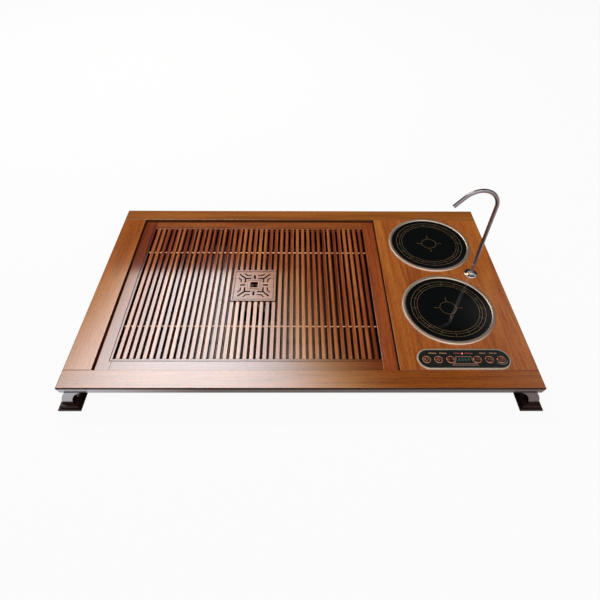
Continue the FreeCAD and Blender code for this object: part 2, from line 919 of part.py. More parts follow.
def make_feet():
    column = doc.addObject("Part::Feature", "foot_column")
    column.Shape = foot_column()
    seat(column, left, front, sole_top)
    low = (s.sole_height - s.sole_groove_height) / 2
    lower = sole_slab("sole_lower", as_size(0), sole_bottom, low)
    groove = sole_slab("sole_groove", s.sole_groove, sole_bottom + low, s.sole_groove_height)
    upper = sole_slab("sole_upper", s.sole_step, sole_bottom + low + s.sole_groove_height, low)
    lower_top = sole_bottom + low
    lower = rounded("sole_lower_round", lower, s.sole_round, [lambda spot: near(spot.z, lower_top)])
    upper = rounded("sole_upper_round", upper, s.sole_round, [lambda spot: near(spot.z, sole_top)])
    foot = fuse("foot_blank", [column, lower, groove, upper])
    x, y = left + s.foot_screw_inset, front + s.foot_screw_inset
    drill = post("foot_drill", x, y, 0, s.screw_radius + s.screw_gap, s.table_height)
    recess = post("pad_recess", x, y, 0, s.pad_radius + s.screw_gap, s.pad_thickness + s.screw_head_height)
    foot = cut("foot_front_left_cut", foot, drill, recess)
    keep(foot, "foot_front_left")
    front_right = mirrored("foot_front_right", foot, point(1, 0, 0))
    mirrored("foot_back_left", foot, point(0, 1, 0))
    mirrored("foot_back_right", front_right, point(0, 1, 0))


def mirrored(label, source, normal):
    copy = doc.addObject("Part::Mirroring", f"{label}_mirror")
    copy.Source = source
    copy.Base = point(0, 0, 0)
    copy.Normal = normal
    return keep(copy, label)


def make_foot_hardware():
    length = underside + s.screw_bite - 1 - s.pad_thickness
    screws = [screw("foot_screw", x, y, s.pad_thickness, s.screw_radius, length, s.screw_head_radius,
                    s.screw_head_height)
              for x, y in foot_screw_places]
    keep(gather("foot_screw_set", screws), "foot_screws")
    pads = [post("foot_pad", x, y, 0, s.pad_radius, s.pad_thickness) for x, y in foot_screw_places]
    keep(gather("foot_pad_set", pads), "foot_pads")


# Drain pan and its spigot

pan_left = recess_left + s.bearer_ledge + s.pan_gap
pan_right = recess_right - s.bearer_ledge - s.pan_gap
pan_front = recess_front + s.bearer_ledge + s.pan_gap
pan_back = recess_back - s.bearer_ledge - s.pan_gap
pan_bottom = underside - s.pan_depth
spigot_x = from_left(s.spigot_from_left)
spigot_z = pan_bottom + s.sheet + s.spigot_drop


def make_drain_pan():
    """A bottom sheet under a walled frame, whose rim rests on the bearers."""
    floor_top = pan_bottom + s.sheet
    keep(block("pan_floor_sheet", (pan_left, pan_right), (pan_front, pan_back), (pan_bottom, floor_top)), "pan_floor")
    rim = block("pan_rim", (recess_left + s.pan_gap, recess_right - s.pan_gap),
                (recess_front + s.pan_gap, recess_back - s.pan_gap), (underside, underside + s.sheet))
    walls = block("pan_wall_blank", (pan_left, pan_right), (pan_front, pan_back), (floor_top, underside))
    hollow = block("pan_hollow", (pan_left + s.sheet, pan_right - s.sheet), (pan_front + s.sheet, pan_back - s.sheet),
                   (floor_top - 1, top))
    hole = bar_along_y("pan_drain_hole", spigot_x, pan_back - 5, spigot_z, s.spigot_radius + s.joint_gap,
                       as_size(10))
    keep(cut("pan_walls_cut", fuse("pan_walls_blank", [rim, walls]), hollow, hole), "pan_walls")


def make_spigot():
    """A straight tube through the pan's back wall, held by a flange inside and a nut outside."""
    inside = pan_back - s.sheet - s.spigot_flange
    tip = back - s.spigot_tip_inset
    body = new_body("drain_spigot")
    sketch = sketch_on(body, "XZ_Plane", "drain_spigot_profile")
    r, bore, lead, hose_end = s.spigot_radius, s.spigot_bore, s.spigot_lead, s.spigot_hose_radius
    length = tip - inside
    shoulder = bearer_back_y + s.spigot_clearance - inside
    add_outline(sketch, [(bore, 0), (s.spigot_flange_radius, 0), (s.spigot_flange_radius, s.spigot_flange),
                         (r, s.spigot_flange), (r, shoulder), (hose_end, shoulder), (hose_end, length - lead),
                         (hose_end - lead / 2, length), (bore, length)])
    revolve(body, sketch, "drain_spigot_turning")
    body.Placement = FreeCAD.Placement(point(0, 0, 0), FreeCAD.Rotation(point(1, 0, 0), -90))
    seat(body, spigot_x, inside, spigot_z)
    keep(body, "drain_spigot")
    nut = bar_along_y("spigot_nut_blank", spigot_x, pan_back, spigot_z, s.spigot_nut_radius, s.spigot_nut_depth)
    hole = bar_along_y("spigot_nut_hole", spigot_x, pan_back - 1, spigot_z, s.spigot_radius + s.joint_gap,
                       s.spigot_nut_depth + 2)
    keep(cut("spigot_nut_cut", nut, hole), "spigot_nut")


# Slatted tray that lifts out

def tray_line_tool():
    """The thin line let into the tray frame all round the slats."""
    near_side = s.tray_line_offset
    far_side = s.tray_line_offset + s.tray_line_width
    z_range = (tray_top - s.tray_line_depth, tray_top + 1)
    outer = block("line_outer", (field_left - far_side, field_right + far_side),
                  (field_front - far_side, field_back + far_side), z_range)
    inner = block("line_inner", (field_left - near_side, field_right + near_side),
                  (field_front - near_side, field_back + near_side), (tray_top - s.tray_line_depth - 1, tray_top + 2))
    return cut("tray_line", outer, inner)


def make_tray_frame(line):
    gap = s.joint_gap
    z_range = (tray_bottom, tray_top)
    half = s.tray_tenon_thickness / 2
    lower_z, upper_z = tray_middle - half, tray_middle + half
    ends = {"front": (tray_front, field_front), "back": (field_back, tray_back)}
    mortises = []
    for name, (y0, y1) in ends.items():
        middle = (y0 + y1) / 2
        mortises.append(block(f"{name}_mortises", (field_left - s.tray_tenon_length - gap,
                                                   field_right + s.tray_tenon_length + gap),
                              (middle - s.tray_tenon_width / 2 - gap, middle + s.tray_tenon_width / 2 + gap),
                              (lower_z - gap, upper_z + gap)))
    bores = [bar_along_x("rod_bore", field_left - s.rod_bite - gap, recess_y + side * s.rod_offset, tray_middle,
                         s.rod_radius + gap, field_right - field_left + 2 * s.rod_bite + 2 * gap) for side in (-1, 1)]
    for name, (x0, x1) in {"left": (tray_left, field_left), "right": (field_right, tray_right)}.items():
        blank = block(f"tray_{name}_blank", (x0, x1), (tray_front, tray_back), z_range)
        shaped = cut(f"tray_{name}_shaped", blank, line, *mortises, *bores)
        tests = [lambda spot, x=x: near(spot.z, tray_top) and near(spot.x, x) for x in (x0, x1)]
        keep(rounded(f"tray_{name}_eased", shaped, s.tray_round, tests), f"tray_{name}_stile")
    tongue_half = s.slat_tongue_thickness / 2 + gap
    for name, (y0, y1) in ends.items():
        middle = (y0 + y1) / 2
        blank = block(f"tray_{name}_blank", (field_left + gap, field_right - gap), (y0, y1), z_range)
        tenon = block(f"tray_{name}_tenon", (field_left - s.tray_tenon_length, field_right + s.tray_tenon_length),
                      (middle - s.tray_tenon_width / 2, middle + s.tray_tenon_width / 2), (lower_z, upper_z))
        inner = y1 if name == "front" else y0
        groove = block(f"tray_{name}_slat_groove", (field_left - 1, field_right + 1),
                       (inner - s.slat_tongue - gap, inner + s.slat_tongue + gap),
                       (tray_middle - tongue_half, tray_middle + tongue_half))
        shaped = cut(f"tray_{name}_shaped", fuse(f"tray_{name}_fused", [blank, tenon]), line, groove)
        tests = [lambda spot, y=y: near(spot.z, tray_top) and near(spot.y, y) for y in (y0, y1)]
        keep(rounded(f"tray_{name}_eased", shaped, s.tray_round, tests), f"tray_{name}_rail")


def slat_row(name, places, y_range):
    """One plain strip at each place along X."""
    return [block(name, (x - slat_width / 2, x + slat_width / 2), y_range, (tray_bottom, tray_top)) for x in places]


def tongue_waste(name, inner, toward):
    """The waste above and below the tongue on the slats' ends; toward is -1 at the front and 1 at the back."""
    gap = s.joint_gap
    near_end = inner - toward * gap
    far_end = inner + toward * (s.slat_tongue + 1)
    y_range = (near_end, far_end) if toward > 0 else (far_end, near_end)
    half = s.slat_tongue_thickness / 2
    x_range = (field_left, field_right)
    return [block(f"{name}_above", x_range, y_range, (tray_middle + half, tray_top + 1)),
            block(f"{name}_below", x_range, y_range, (tray_bottom - 1, tray_middle - half))]


def make_slats():
    gap = s.joint_gap
    whole = (field_front - s.slat_tongue, field_back + s.slat_tongue)
    wastes = tongue_waste("front_tongue", field_front, -1) + tongue_waste("back_tongue", field_back, 1)
    bores = [bar_along_x("slat_bore", field_left, recess_y + side * s.rod_offset, tray_middle, s.rod_radius + gap,
                         field_right - field_left) for side in (-1, 1)]
    reach = MEDALLION_SLATS / 2
    steps = [index - (SLOT_COUNT - 2) / 2 for index in range(SLOT_COUNT - 1)]
    long_places = [recess_x + slot_pitch * step for step in steps if abs(step) > reach]
    short_places = [recess_x + slot_pitch * step for step in steps if abs(step) < reach]
    long_slats = gather("long_slat_blanks", slat_row("long_slat", long_places, whole))
    keep(cut("long_slat_set", long_slats, *wastes, *bores), "long_slats")
    near_side = recess_y - medallion_side / 2
    far_side = recess_y + medallion_side / 2
    short = slat_row("short_slat", short_places, (field_front - s.slat_tongue, near_side + s.slat_tongue))
    short += slat_row("short_slat", short_places, (far_side - s.slat_tongue, field_back + s.slat_tongue))
    wastes += tongue_waste("near_tongue", near_side, 1) + tongue_waste("far_tongue", far_side, -1)
    keep(cut("short_slat_set", gather("short_slat_blanks", short), *wastes, *bores), "short_slats")
    rods = [bar_along_x("cross_rod", field_left - s.rod_bite, recess_y + side * s.rod_offset, tray_middle,
                        s.rod_radius, field_right - field_left + 2 * s.rod_bite) for side in (-1, 1)]
    keep(gather("cross_rod_set", rods), "cross_rods")


def square_range(centre, half):
    return (centre - half, centre + half)


def make_medallion_frame():
    outer = medallion_side / 2
    opening = outer - s.medallion_border
    ledge = opening - s.medallion_ledge
    ledge_top = tray_bottom + s.medallion_ledge_height
    blank = block("medallion_blank", square_range(recess_x, outer), square_range(recess_y, outer),
                  (tray_bottom, medallion_top))
    upper = block("medallion_opening", square_range(recess_x, opening), square_range(recess_y, opening),
                  (ledge_top, medallion_top + 1))
    lower = block("medallion_lower", square_range(recess_x, ledge), square_range(recess_y, ledge),
                  (tray_bottom - 1, ledge_top + 1))
    half = s.slat_tongue_thickness / 2 + s.joint_gap
    deep = s.slat_tongue + s.joint_gap
    grooves = [block("medallion_groove", square_range(recess_x, outer + 1), y_range,
                     (tray_middle - half, tray_middle + half))
               for y_range in ((recess_y - outer - 1, recess_y - outer + deep),
                               (recess_y + outer - deep, recess_y + outer + 1))]
    framed = cut("medallion_frame_cut", blank, upper, lower, *grooves)
    tests = [lambda spot: near(spot.z, medallion_top)]
    keep(rounded("medallion_frame_eased", framed, s.tray_round, tests), "medallion_frame")


def swapped(corners):
    """The same outline mirrored over the diagonal, turned the same way round."""
    return [(b, a) for a, b in reversed(corners)]


def make_medallion_plate():
    """The fretwork: slots pierced in the plate, four times round, and a raised square eye."""
    body = new_body("medallion_plate")
    half = medallion_side / 2 - s.medallion_border - s.medallion_line
    thickness = s.medallion_plate_thickness
    outline = sketch_on(body, "XY_Plane", "plate_outline")
    add_outline(outline, rectangle((-half, half), (-half, half)))
    pad(body, outline, "plate_slab", thickness)
    rim = sketch_on(body, "XY_Plane", "eye_outline", thickness)
    rim_half = s.eye_half + s.eye_rim
    add_outline(rim, rectangle((-rim_half, rim_half), (-rim_half, rim_half)))
    pad(body, rim, "eye_rim", s.eye_rim_height)
    line = sketch_on(body, "XY_Plane", "eye_line_outline", thickness)
    line_out = s.eye_line
    line_in = s.eye_line - s.tray_line_width / 2
    add_outline(line, rectangle((-line_out, line_out), (-line_out, line_out)))
    add_outline(line, rectangle((-line_in, line_in), (-line_in, line_in)))
    pocket(body, line, "eye_line", s.tray_line_depth / 2)
    eye = sketch_on(body, "XY_Plane", "eye_hole", thickness + s.eye_rim_height)
    add_outline(eye, rectangle((-s.eye_half, s.eye_half), (-s.eye_half, s.eye_half)))
    pocket(body, eye, "eye", thickness + 2 * s.eye_rim_height)

    fret = sketch_on(body, "XY_Plane", "fret_outline", thickness)
    arm, tip, start = s.fret_arm_line, s.fret_tip, s.fret_arm_start
    wide = s.fret_width / 2
    bevel = wide * (math.sqrt(2) - 1)
    slant = wide * math.sqrt(0.5)
    lower_branch = [(start, arm - wide), (arm - wide, arm - wide)]
    outer_branch = [(arm + wide, arm - bevel), (tip + slant, tip - slant)]
    add_outline(fret, lower_branch + [(arm - wide, start), (arm + wide, start)] + outer_branch
                + [(tip - slant, tip + slant), (arm - bevel, arm + wide), (start, arm + wide)])
    far, bend, end = s.fret_outer_line, s.fret_outer_bend, s.fret_outer_tip
    thin = s.fret_thin_width / 2
    bevel = thin * (math.sqrt(2) - 1)
    slant = thin * math.sqrt(0.5)
    rise = far + end - bend
    hook = [(start, far - thin), (bend + bevel, far - thin), (end + slant, rise - slant), (end - slant, rise + slant),
            (bend - bevel, far + thin), (start, far + thin)]
    add_outline(fret, hook)
    add_outline(fret, swapped(hook))
    axis_half = s.fret_axis_width / 2
    add_outline(fret, rectangle((-axis_half, axis_half), (s.fret_axis_start, s.fret_axis_end)))
    slots = pocket(body, fret, "fret", thickness + 1)
    pattern = body.newObject("PartDesign::PolarPattern", "fret_pattern")
    pattern.Originals = [slots]
    pattern.Axis = (fret, ["N_Axis"])
    pattern.Angle = 360
    pattern.Occurrences = 4
    body.Tip = pattern
    seat(body, recess_x, recess_y, medallion_top - s.medallion_plate_sink - thickness)
    keep(body, "medallion_plate")


# Hot plates

def make_ring(label, y):
    """The bevelled trim ring that clamps a glass disc in the hob panel."""
    outer = ring_radius
    inner = ring_radius - s.ring_face
    lip_top = s.glass_proud - s.glass_thickness - s.seal_thickness
    bevel = s.ring_height * 0.6
    corners = [(ring_collar, 0), (outer, 0), (outer, s.ring_height - bevel), (outer - bevel, s.ring_height),
               (inner + bevel, s.ring_height), (inner, s.glass_proud), (inner, lip_top),
               (inner - s.ring_lip, lip_top), (inner - s.ring_lip, lip_top - s.ring_lip_thickness),
               (ring_collar - s.ring_collar_wall, lip_top - s.ring_lip_thickness),
               (ring_collar - s.ring_collar_wall, -s.ring_collar_depth),
               (ring_collar, -s.ring_collar_depth)]
    body = turned(label, corners)
    seat(body, hob_x, y, top)
    keep(body, label)


def make_glass(label, y):
    radius = ring_radius - s.ring_face - s.glass_gap
    edge = s.glass_thickness * 0.15
    corners = [(0, 0), (radius - edge, 0), (radius, edge), (radius, s.glass_thickness - edge),
               (radius - edge, s.glass_thickness), (0, s.glass_thickness)]
    body = turned(label, corners)
    seat(body, hob_x, y, glass_bottom)
    keep(body, label)


def flat_ring(name, x, y, z, outer, inner, height):
    hole = post(f"{name}_hole", x, y, z - 1, inner, height + 2)
    return cut(name, post(f"{name}_disc", x, y, z, outer, height), hole)


def leg_places(x, y):
    """Three carrier legs, turned half way round for the rear hot plate so that they miss the fan."""
    turn = 90 if float(y) < float(recess_y) else 270
    return [(x + leg_circle * cosine(turn + 120 * step), y + leg_circle * sine(turn + 120 * step))
            for step in range(3)]


def make_carrier(label, y):
    disc = flat_ring(f"{label}_disc", hob_x, y, carrier_bottom, carrier_radius, s.coil_inner / 2,
                     s.carrier_thickness)
    hub = flat_ring(f"{label}_hub", hob_x, y, carrier_bottom, s.coil_inner - s.tray_gap, s.coil_inner / 2,
                    s.carrier_thickness + s.coil_thickness)
    legs = [post(f"{label}_leg", x, leg_y, case_floor, s.carrier_leg_radius, carrier_bottom - case_floor)
            for x, leg_y in leg_places(hob_x, y)]
    return fuse(f"{label}_whole", [disc, hub] + legs)


def make_ferrites():
    """Flat bars like spokes under each coil, ending short of the carrier's legs."""
    length = leg_circle - s.carrier_leg_radius - s.ferrite_end_gap - s.ferrite_start
    bars = []
    for y in hob_places.values():
        for step in range(int(SIZES["ferrite_count"])):
            bar = block("ferrite_bar", (as_size(0), length), (-s.ferrite_width / 2, s.ferrite_width / 2),
                        (as_size(0), s.ferrite_thickness))
            angle = 360 / SIZES["ferrite_count"] * (step + 0.5)
            bar.Placement = FreeCAD.Placement(point(0, 0, 0), FreeCAD.Rotation(point(0, 0, 1), angle))
            across = s.ferrite_width / 2
            seat(bar, hob_x + s.ferrite_start * cosine(angle) + across * sine(angle),
                 y + s.ferrite_start * sine(angle) - across * cosine(angle), carrier_bottom - s.ferrite_thickness)
            bars.append(bar)
    keep(gather("ferrite_bar_set", bars), "ferrite_bars")


def make_hot_plates():
    seals, coils, carriers = [], [], []
    for name, y in hob_places.items():
        make_ring(f"{name}_hob_ring", y)
        make_glass(f"{name}_glass", y)
        inner = ring_radius - s.ring_face
        seals.append(flat_ring(f"{name}_seal", hob_x, y, glass_bottom - s.seal_thickness, inner - s.glass_gap,
                               inner - s.glass_gap - s.seal_width, s.seal_thickness))
        coils.append(flat_ring(f"{name}_coil", hob_x, y, carrier_top, carrier_radius - s.coil_rim,
                               s.coil_inner, s.coil_thickness))
        carriers.append(make_carrier(f"{name}_coil_carrier", y))
    keep(gather("glass_seal_set", seals), "glass_seals")
    keep(gather("coil_set", coils), "coils")
    keep(gather("coil_carrier_set", carriers), "coil_carriers")
    make_ferrites()


# Case, boards and fan under the hob panel

inverter_x = hob_x + s.inverter_shift
inverter_z = case_floor + s.inverter_post
inverter_length = 2 * (leg_circle * cosine(30) - s.carrier_leg_radius - s.inverter_leg_gap)
capacitor_length = inverter_length / 2 - 4 * s.inverter_post
sink_length = inverter_length / 2 - 2 * s.inverter_post
fan_x = case_left + s.case_sheet + s.fan_wall_gap + s.fan_side / 2
fan_y = between_hobs


def inverter_y(y):
    return y + s.inverter_lift


def make_case():
    """A sheet-metal tray with a narrower bay at each end, which clears the corner feet."""
    wall = s.case_sheet
    flange = s.case_flange
    flange_z = (underside - wall, underside)
    full_z, inner_z = (case_bottom, underside), (case_floor, underside + 1)
    outsides = [block("case_outside", (case_left, case_right), (case_front, case_back), full_z),
                block("bay_outside", (bay_left, bay_right), (bay_front, bay_back), full_z),
                block("case_flange_plate", (case_left - flange, case_right + flange),
                      (case_front, case_back), flange_z),
                block("bay_flange_plate", (bay_left, bay_right),
                      (bay_front - flange, bay_back + flange), flange_z)]
    tools = [block("case_inside", (case_left + wall, case_right - wall),
                   (case_front + wall, case_back - wall), inner_z),
             block("bay_inside", (bay_left + wall, bay_right - wall),
                   (bay_front + wall, bay_back - wall), inner_z)]
    tools += [post("case_screw_hole", x, y, underside - s.case_sheet - 1, s.case_screw_radius + s.screw_gap,
                   s.case_sheet + 2) for x, y in case_screw_places()]
    half_run = s.vent_pitch * (SIZES["vent_count"] - 1) / 2
    for step in range(int(SIZES["vent_count"])):
        x = fan_x - half_run + s.vent_pitch * step
        tools.append(block("floor_vent", (x - s.vent_width / 2, x + s.vent_width / 2),
                           (fan_y - s.vent_length / 2, fan_y + s.vent_length / 2), (case_bottom - 1, case_floor + 1)))
        y = fan_y - half_run + s.vent_pitch * step
        tools.append(block("side_vent", (case_right - s.case_sheet - 1, case_right + 1),
                           (y - s.vent_width / 2, y + s.vent_width / 2),
                           (case_bottom + case_height * 0.3, underside - case_height * 0.3)))
    tools.append(bar_along_y("inlet_hole", spout_x, bay_back - 5, inlet_z, s.barb_radius + s.inlet_hole_gap,
                             as_size(10)))
    tools.append(bar_along_y("gland_hole", gland_x, bay_back - 5, inlet_z, s.gland_radius + s.inlet_hole_gap,
                             as_size(10)))
    shell = cut("case_shell", fuse("case_blank", outsides), *tools)
    posts = []
    for y in hob_places.values():
        for side in (-1, 1):
            for end in (-1, 1):
                x = inverter_x + side * (inverter_length / 2 - s.inverter_post_radius)
                post_y = inverter_y(y) + end * (s.inverter_depth / 2 - s.inverter_post_radius)
                posts.append(post("inverter_post", x, post_y, case_floor - s.case_sheet / 2,
                                  s.inverter_post_radius, s.inverter_post + s.case_sheet / 2))
    keep(fuse("hob_case_whole", [shell] + posts), "hob_case")


def make_case_screws():
    bottom = underside - s.case_sheet - s.case_screw_head_height
    length = s.case_screw_head_height + s.case_sheet + s.case_screw_bite - 1
    screws = [screw("case_screw", x, y, bottom, s.case_screw_radius, length, s.case_screw_head,
                    s.case_screw_head_height)
              for x, y in case_screw_places()]
    keep(gather("case_screw_set", screws), "case_screws")


def make_inverter(label, y):
    """A power board with its choke, two capacitors and a terminal block soldered on."""
    y = inverter_y(y)
    x0, x1 = inverter_x - inverter_length / 2, inverter_x + inverter_length / 2
    y0, y1 = y - s.inverter_depth / 2, y + s.inverter_depth / 2
    board_z = inverter_z + s.inverter_thickness
    plate = block(f"{label}_plate", (x0, x1), (y0, y1), (inverter_z, board_z))
    margin = s.inverter_post
    choke = post(f"{label}_choke", x0 + margin + s.choke_radius, y1 - margin - s.choke_radius, board_z,
                 s.choke_radius, s.choke_height)
    parts = [plate, choke]
    for step in range(2):
        cap_y = y0 + margin + step * (s.capacitor_depth + margin)
        parts.append(block(f"{label}_capacitor", (x0 + margin, x0 + margin + capacitor_length),
                           (cap_y, cap_y + s.capacitor_depth), (board_z, board_z + s.capacitor_height)))
    parts.append(block(f"{label}_terminals", (x1 - s.capacitor_depth - margin, x1 - margin),
                       (y1 - margin - capacitor_length, y1 - margin),
                       (board_z, board_z + s.capacitor_height / 2)))
    return fuse(f"{label}_whole", parts)


def make_inverters():
    boards = [make_inverter(f"{name}_inverter", y) for name, y in hob_places.items()]
    keep(gather("inverter_board_set", boards), "inverter_boards")


def make_heat_sinks():
    """One finned block on each power board."""
    sinks = []
    for y in hob_places.values():
        x0 = inverter_x - 2 * s.inverter_post
        y0 = inverter_y(y) - s.inverter_depth / 2 + s.inverter_post
        z0 = inverter_z + s.inverter_thickness
        solids = [block("sink_base", (x0, x0 + sink_length), (y0, y0 + s.sink_depth), (z0, z0 + s.sink_base))]
        pitch = (sink_length - s.sink_fin) / (SIZES["sink_fin_count"] - 1)
        for step in range(int(SIZES["sink_fin_count"])):
            x = x0 + pitch * step
            solids.append(block("sink_fin", (x, x + s.sink_fin), (y0, y0 + s.sink_depth),
                                (z0 + s.sink_base / 2, z0 + s.sink_height)))
        sinks.append(fuse("heat_sink", solids))
    keep(gather("heat_sink_set", sinks), "heat_sinks")


def make_fan_frame():
    half = s.fan_side / 2
    blank = block("fan_blank", (fan_x - half, fan_x + half), (fan_y - half, fan_y + half),
                  (case_floor, case_floor + s.fan_height))
    bore = post("fan_bore", fan_x, fan_y, case_floor - 1, s.fan_bore, s.fan_height + 2)
    frame = cut("fan_frame_cut", blank, bore)
    plate = post("fan_plate", fan_x, fan_y, case_floor, s.fan_hub_plate, s.fan_plate)
    pin = post("fan_pin", fan_x, fan_y, case_floor, s.fan_pin_radius, s.fan_plate + s.fan_hub_height)
    reach = s.fan_bore + 1
    strut = s.fan_strut / 2
    struts = [block("fan_strut_x", (fan_x - reach, fan_x + reach), (fan_y - strut, fan_y + strut),
                    (case_floor, case_floor + s.fan_plate)),
              block("fan_strut_y", (fan_x - strut, fan_x + strut), (fan_y - reach, fan_y + reach),
                    (case_floor, case_floor + s.fan_plate))]
    keep(fuse("fan_frame_whole", [frame, plate, pin] + struts), "fan_frame")


def make_fan_rotor():
    body = new_body("fan_rotor")
    hub = sketch_on(body, "XY_Plane", "hub_circle")
    add_circle(hub, 0, 0, s.fan_hub)
    add_circle(hub, 0, 0, s.fan_pin_radius + s.fan_pin_gap)
    pad(body, hub, "hub", s.fan_hub_height)
    blade = sketch_on(body, "YZ_Plane", "blade_section", s.fan_hub * 0.8)
    swing = s.fan_blade_swing / 2
    low, high = s.fan_gap, s.fan_hub_height - s.fan_gap
    add_outline(blade, [(-swing, low), (-swing + s.fan_blade, low), (swing, high), (swing - s.fan_blade, high)])
    first = pad(body, blade, "blade", s.fan_tip - s.fan_hub * 0.8)
    pattern = body.newObject("PartDesign::PolarPattern", "blades")
    pattern.Originals = [first]
    pattern.Axis = (hub, ["N_Axis"])
    pattern.Angle = 360
    pattern.Occurrences = int(SIZES["fan_blade_count"])
    body.Tip = pattern
    seat(body, fan_x, fan_y, case_floor + s.fan_plate + s.fan_gap)
    keep(body, "fan_rotor")


# Control panel

def make_bezel():
    outer_length, outer_width = panel_length, s.panel_width
    inner_length, inner_width = outer_length - 2 * s.bezel_face, outer_width - 2 * s.bezel_face
    collar_length, collar_width = outer_length - 2 * s.bezel_overlap, outer_width - 2 * s.bezel_overlap
    flange = stadium("bezel_flange", panel_x, panel_y, top, outer_length, outer_width, s.bezel_height)
    edge_top = top + s.bezel_height
    flange = rounded("bezel_flange_round", flange, s.edge_round * 0.7, [lambda spot: near(spot.z, edge_top)])
    collar = stadium("bezel_collar", panel_x, panel_y, top - s.bezel_depth, collar_length, collar_width,
                     s.bezel_depth)
    well = stadium("bezel_well", panel_x, panel_y, face_bottom, inner_length, inner_width, s.bezel_height * 4)
    throat = stadium("bezel_throat", panel_x, panel_y, top - s.bezel_depth - 1,
                     collar_length - 2 * s.bezel_wall, collar_width - 2 * s.bezel_wall, s.bezel_depth + 2)
    keep(cut("bezel_cut", fuse("bezel_blank", [flange, collar]), well, throat), "panel_bezel")


def make_face():
    gap = s.face_gap
    length = panel_length - 2 * s.bezel_face - 2 * gap
    width = s.panel_width - 2 * s.bezel_face - 2 * gap
    plate = stadium("face_plate", panel_x, panel_y, face_bottom, length, width, s.face_thickness)
    tools = [post("key_hole", x, key_y, face_bottom - 1, s.key_radius + s.key_gap, s.face_thickness + 2)
             for x in key_places]
    half_x = window_length / 2 + s.window_gap
    half_y = s.window_width / 2 + s.window_gap
    tools.append(block("face_window", (panel_x - half_x, panel_x + half_x), (key_y - half_y, key_y + half_y),
                       (face_bottom - 1, face_top + 1)))
    tools.append(post("lamp_hole", panel_x, lamp_y, face_bottom - 1, s.lamp_radius + s.lamp_gap,
                      s.face_thickness + 2))
    plate = cut("face_cut", plate, *tools)
    far_x = board_length / 2 - s.board_post_radius * 2
    back_y = panel_y + s.board_width / 2 - s.board_post_radius * 2
    near_y = panel_y - s.board_width / 2 + s.board_post_radius
    spots = [(panel_x + side * far_x, back_y) for side in (-0.8, 0.8)]
    spots += [(panel_x + side * key_first / 2, near_y) for side in (-1, 1)]
    posts = [post("face_post", x, y, board_top, s.board_post_radius,
                  face_bottom - board_top + s.face_thickness / 2) for x, y in spots]
    keep(fuse("face_whole", [plate] + posts), "panel_face")


def make_key(label, x):
    """A round press key: a shallow dome, a flange that keeps it under the face, and a stem."""
    switch_top = board_top + s.switch_height
    bottom = switch_top + s.key_travel
    flange_top = face_bottom - s.key_gap / 2 - bottom
    flange_low = flange_top - s.key_flange_thickness
    cap_top = face_top + s.key_height - bottom
    dome = s.key_dome_round
    flange = s.key_radius + s.key_flange
    corners = [(0, 0), (s.key_stem_radius, 0), (s.key_stem_radius, flange_low), (flange, flange_low),
               (flange, flange_top), (s.key_radius, flange_top), (s.key_radius, cap_top - dome),
               (s.key_radius - dome, cap_top), (s.key_radius * 0.7, cap_top),
               (s.key_radius * 0.6, cap_top - dome / 2), (0, cap_top - dome / 2)]
    body = turned(label, corners)
    seat(body, x, key_y, bottom)
    keep(body, label)


def make_control_board():
    half_x, half_y = board_length / 2, s.board_width / 2
    parts = [block("control_plate", (panel_x - half_x, panel_x + half_x), (panel_y - half_y, panel_y + half_y),
                   (board_top - s.board_sheet, board_top))]
    half = s.switch_side / 2
    for x in key_places:
        parts.append(block("switch", (x - half, x + half), (key_y - half, key_y + half),
                           (board_top - s.board_sheet / 2, board_top + s.switch_height)))
    keep(fuse("control_board_whole", parts), "control_board")


def make_display():
    half_x, half_y = s.display_length / 2, s.display_width / 2
    body_top = face_bottom - s.window_gap
    module = block("display_body", (panel_x - half_x, panel_x + half_x), (key_y - half_y, key_y + half_y),
                   (board_top, body_top))
    lens = block("display_lens", (panel_x - window_length / 2, panel_x + window_length / 2),
                 (key_y - s.window_width / 2, key_y + s.window_width / 2), (board_top, face_top - s.window_sink))
    keep(fuse("display_whole", [module, lens]), "display_module")
    height = face_top - board_top
    lamp = post("lamp_stem", panel_x, lamp_y, board_top, s.lamp_radius, height)
    tests = [lambda spot: near(spot.z, face_top)]
    keep(rounded("lamp_round", lamp, s.lamp_radius * 0.6, tests), "indicator_lamp")


# Spout, pump and hoses

stem_bottom = underside + s.board_thickness - s.stem_drop
barb_bottom = stem_bottom - s.barb_length
spout_foot = top + s.base_height - s.spout_foot_depth
pump_x = (fan_x + s.fan_side / 2 + spout_x) / 2
pump_y = between_hobs - s.pump_shift
pump_z = case_floor + s.pump_lift
inlet_z = case_floor + s.inlet_lift
gland_x = bay_left + s.gland_from_bay


def make_spout_base():
    """The flanged bush the spout turns in, with a threaded stem and a hose barb below."""
    bore = s.spout_radius + s.swivel_gap
    rise = s.base_height
    foot = rise - s.spout_foot_depth
    corners = [(bore, rise), (s.base_neck - 1, rise), (s.base_neck, rise - 1), (s.base_neck, s.base_skirt + 1.5),
               (s.base_radius - 1, s.base_skirt), (s.base_radius, s.base_skirt - 1), (s.base_radius, 0),
               (s.stem_radius, 0), (s.stem_radius, -s.stem_drop), (s.barb_radius, -s.stem_drop),
               (s.barb_radius, -s.stem_drop - s.barb_length), (s.barb_bore, -s.stem_drop - s.barb_length),
               (s.barb_bore, foot - s.swivel_gap), (bore, foot - s.swivel_gap)]
    body = turned("spout_base", corners)
    seat(body, spout_x, spout_y, top)
    keep(body, "spout_base")


def make_spout_nut():
    prism_nut = doc.addObject("Part::Prism", "spout_nut_hexagon")
    prism_nut.Polygon = 6
    bind(prism_nut, Circumradius=s.nut_width / 2, Height=s.nut_depth)
    seat(prism_nut, spout_x, spout_y, underside - s.nut_depth)
    hole = post("spout_nut_hole", spout_x, spout_y, underside - s.nut_depth - 1, s.stem_radius + s.joint_gap,
                s.nut_depth + 2)
    keep(cut("spout_nut_cut", prism_nut, hole), "spout_nut")


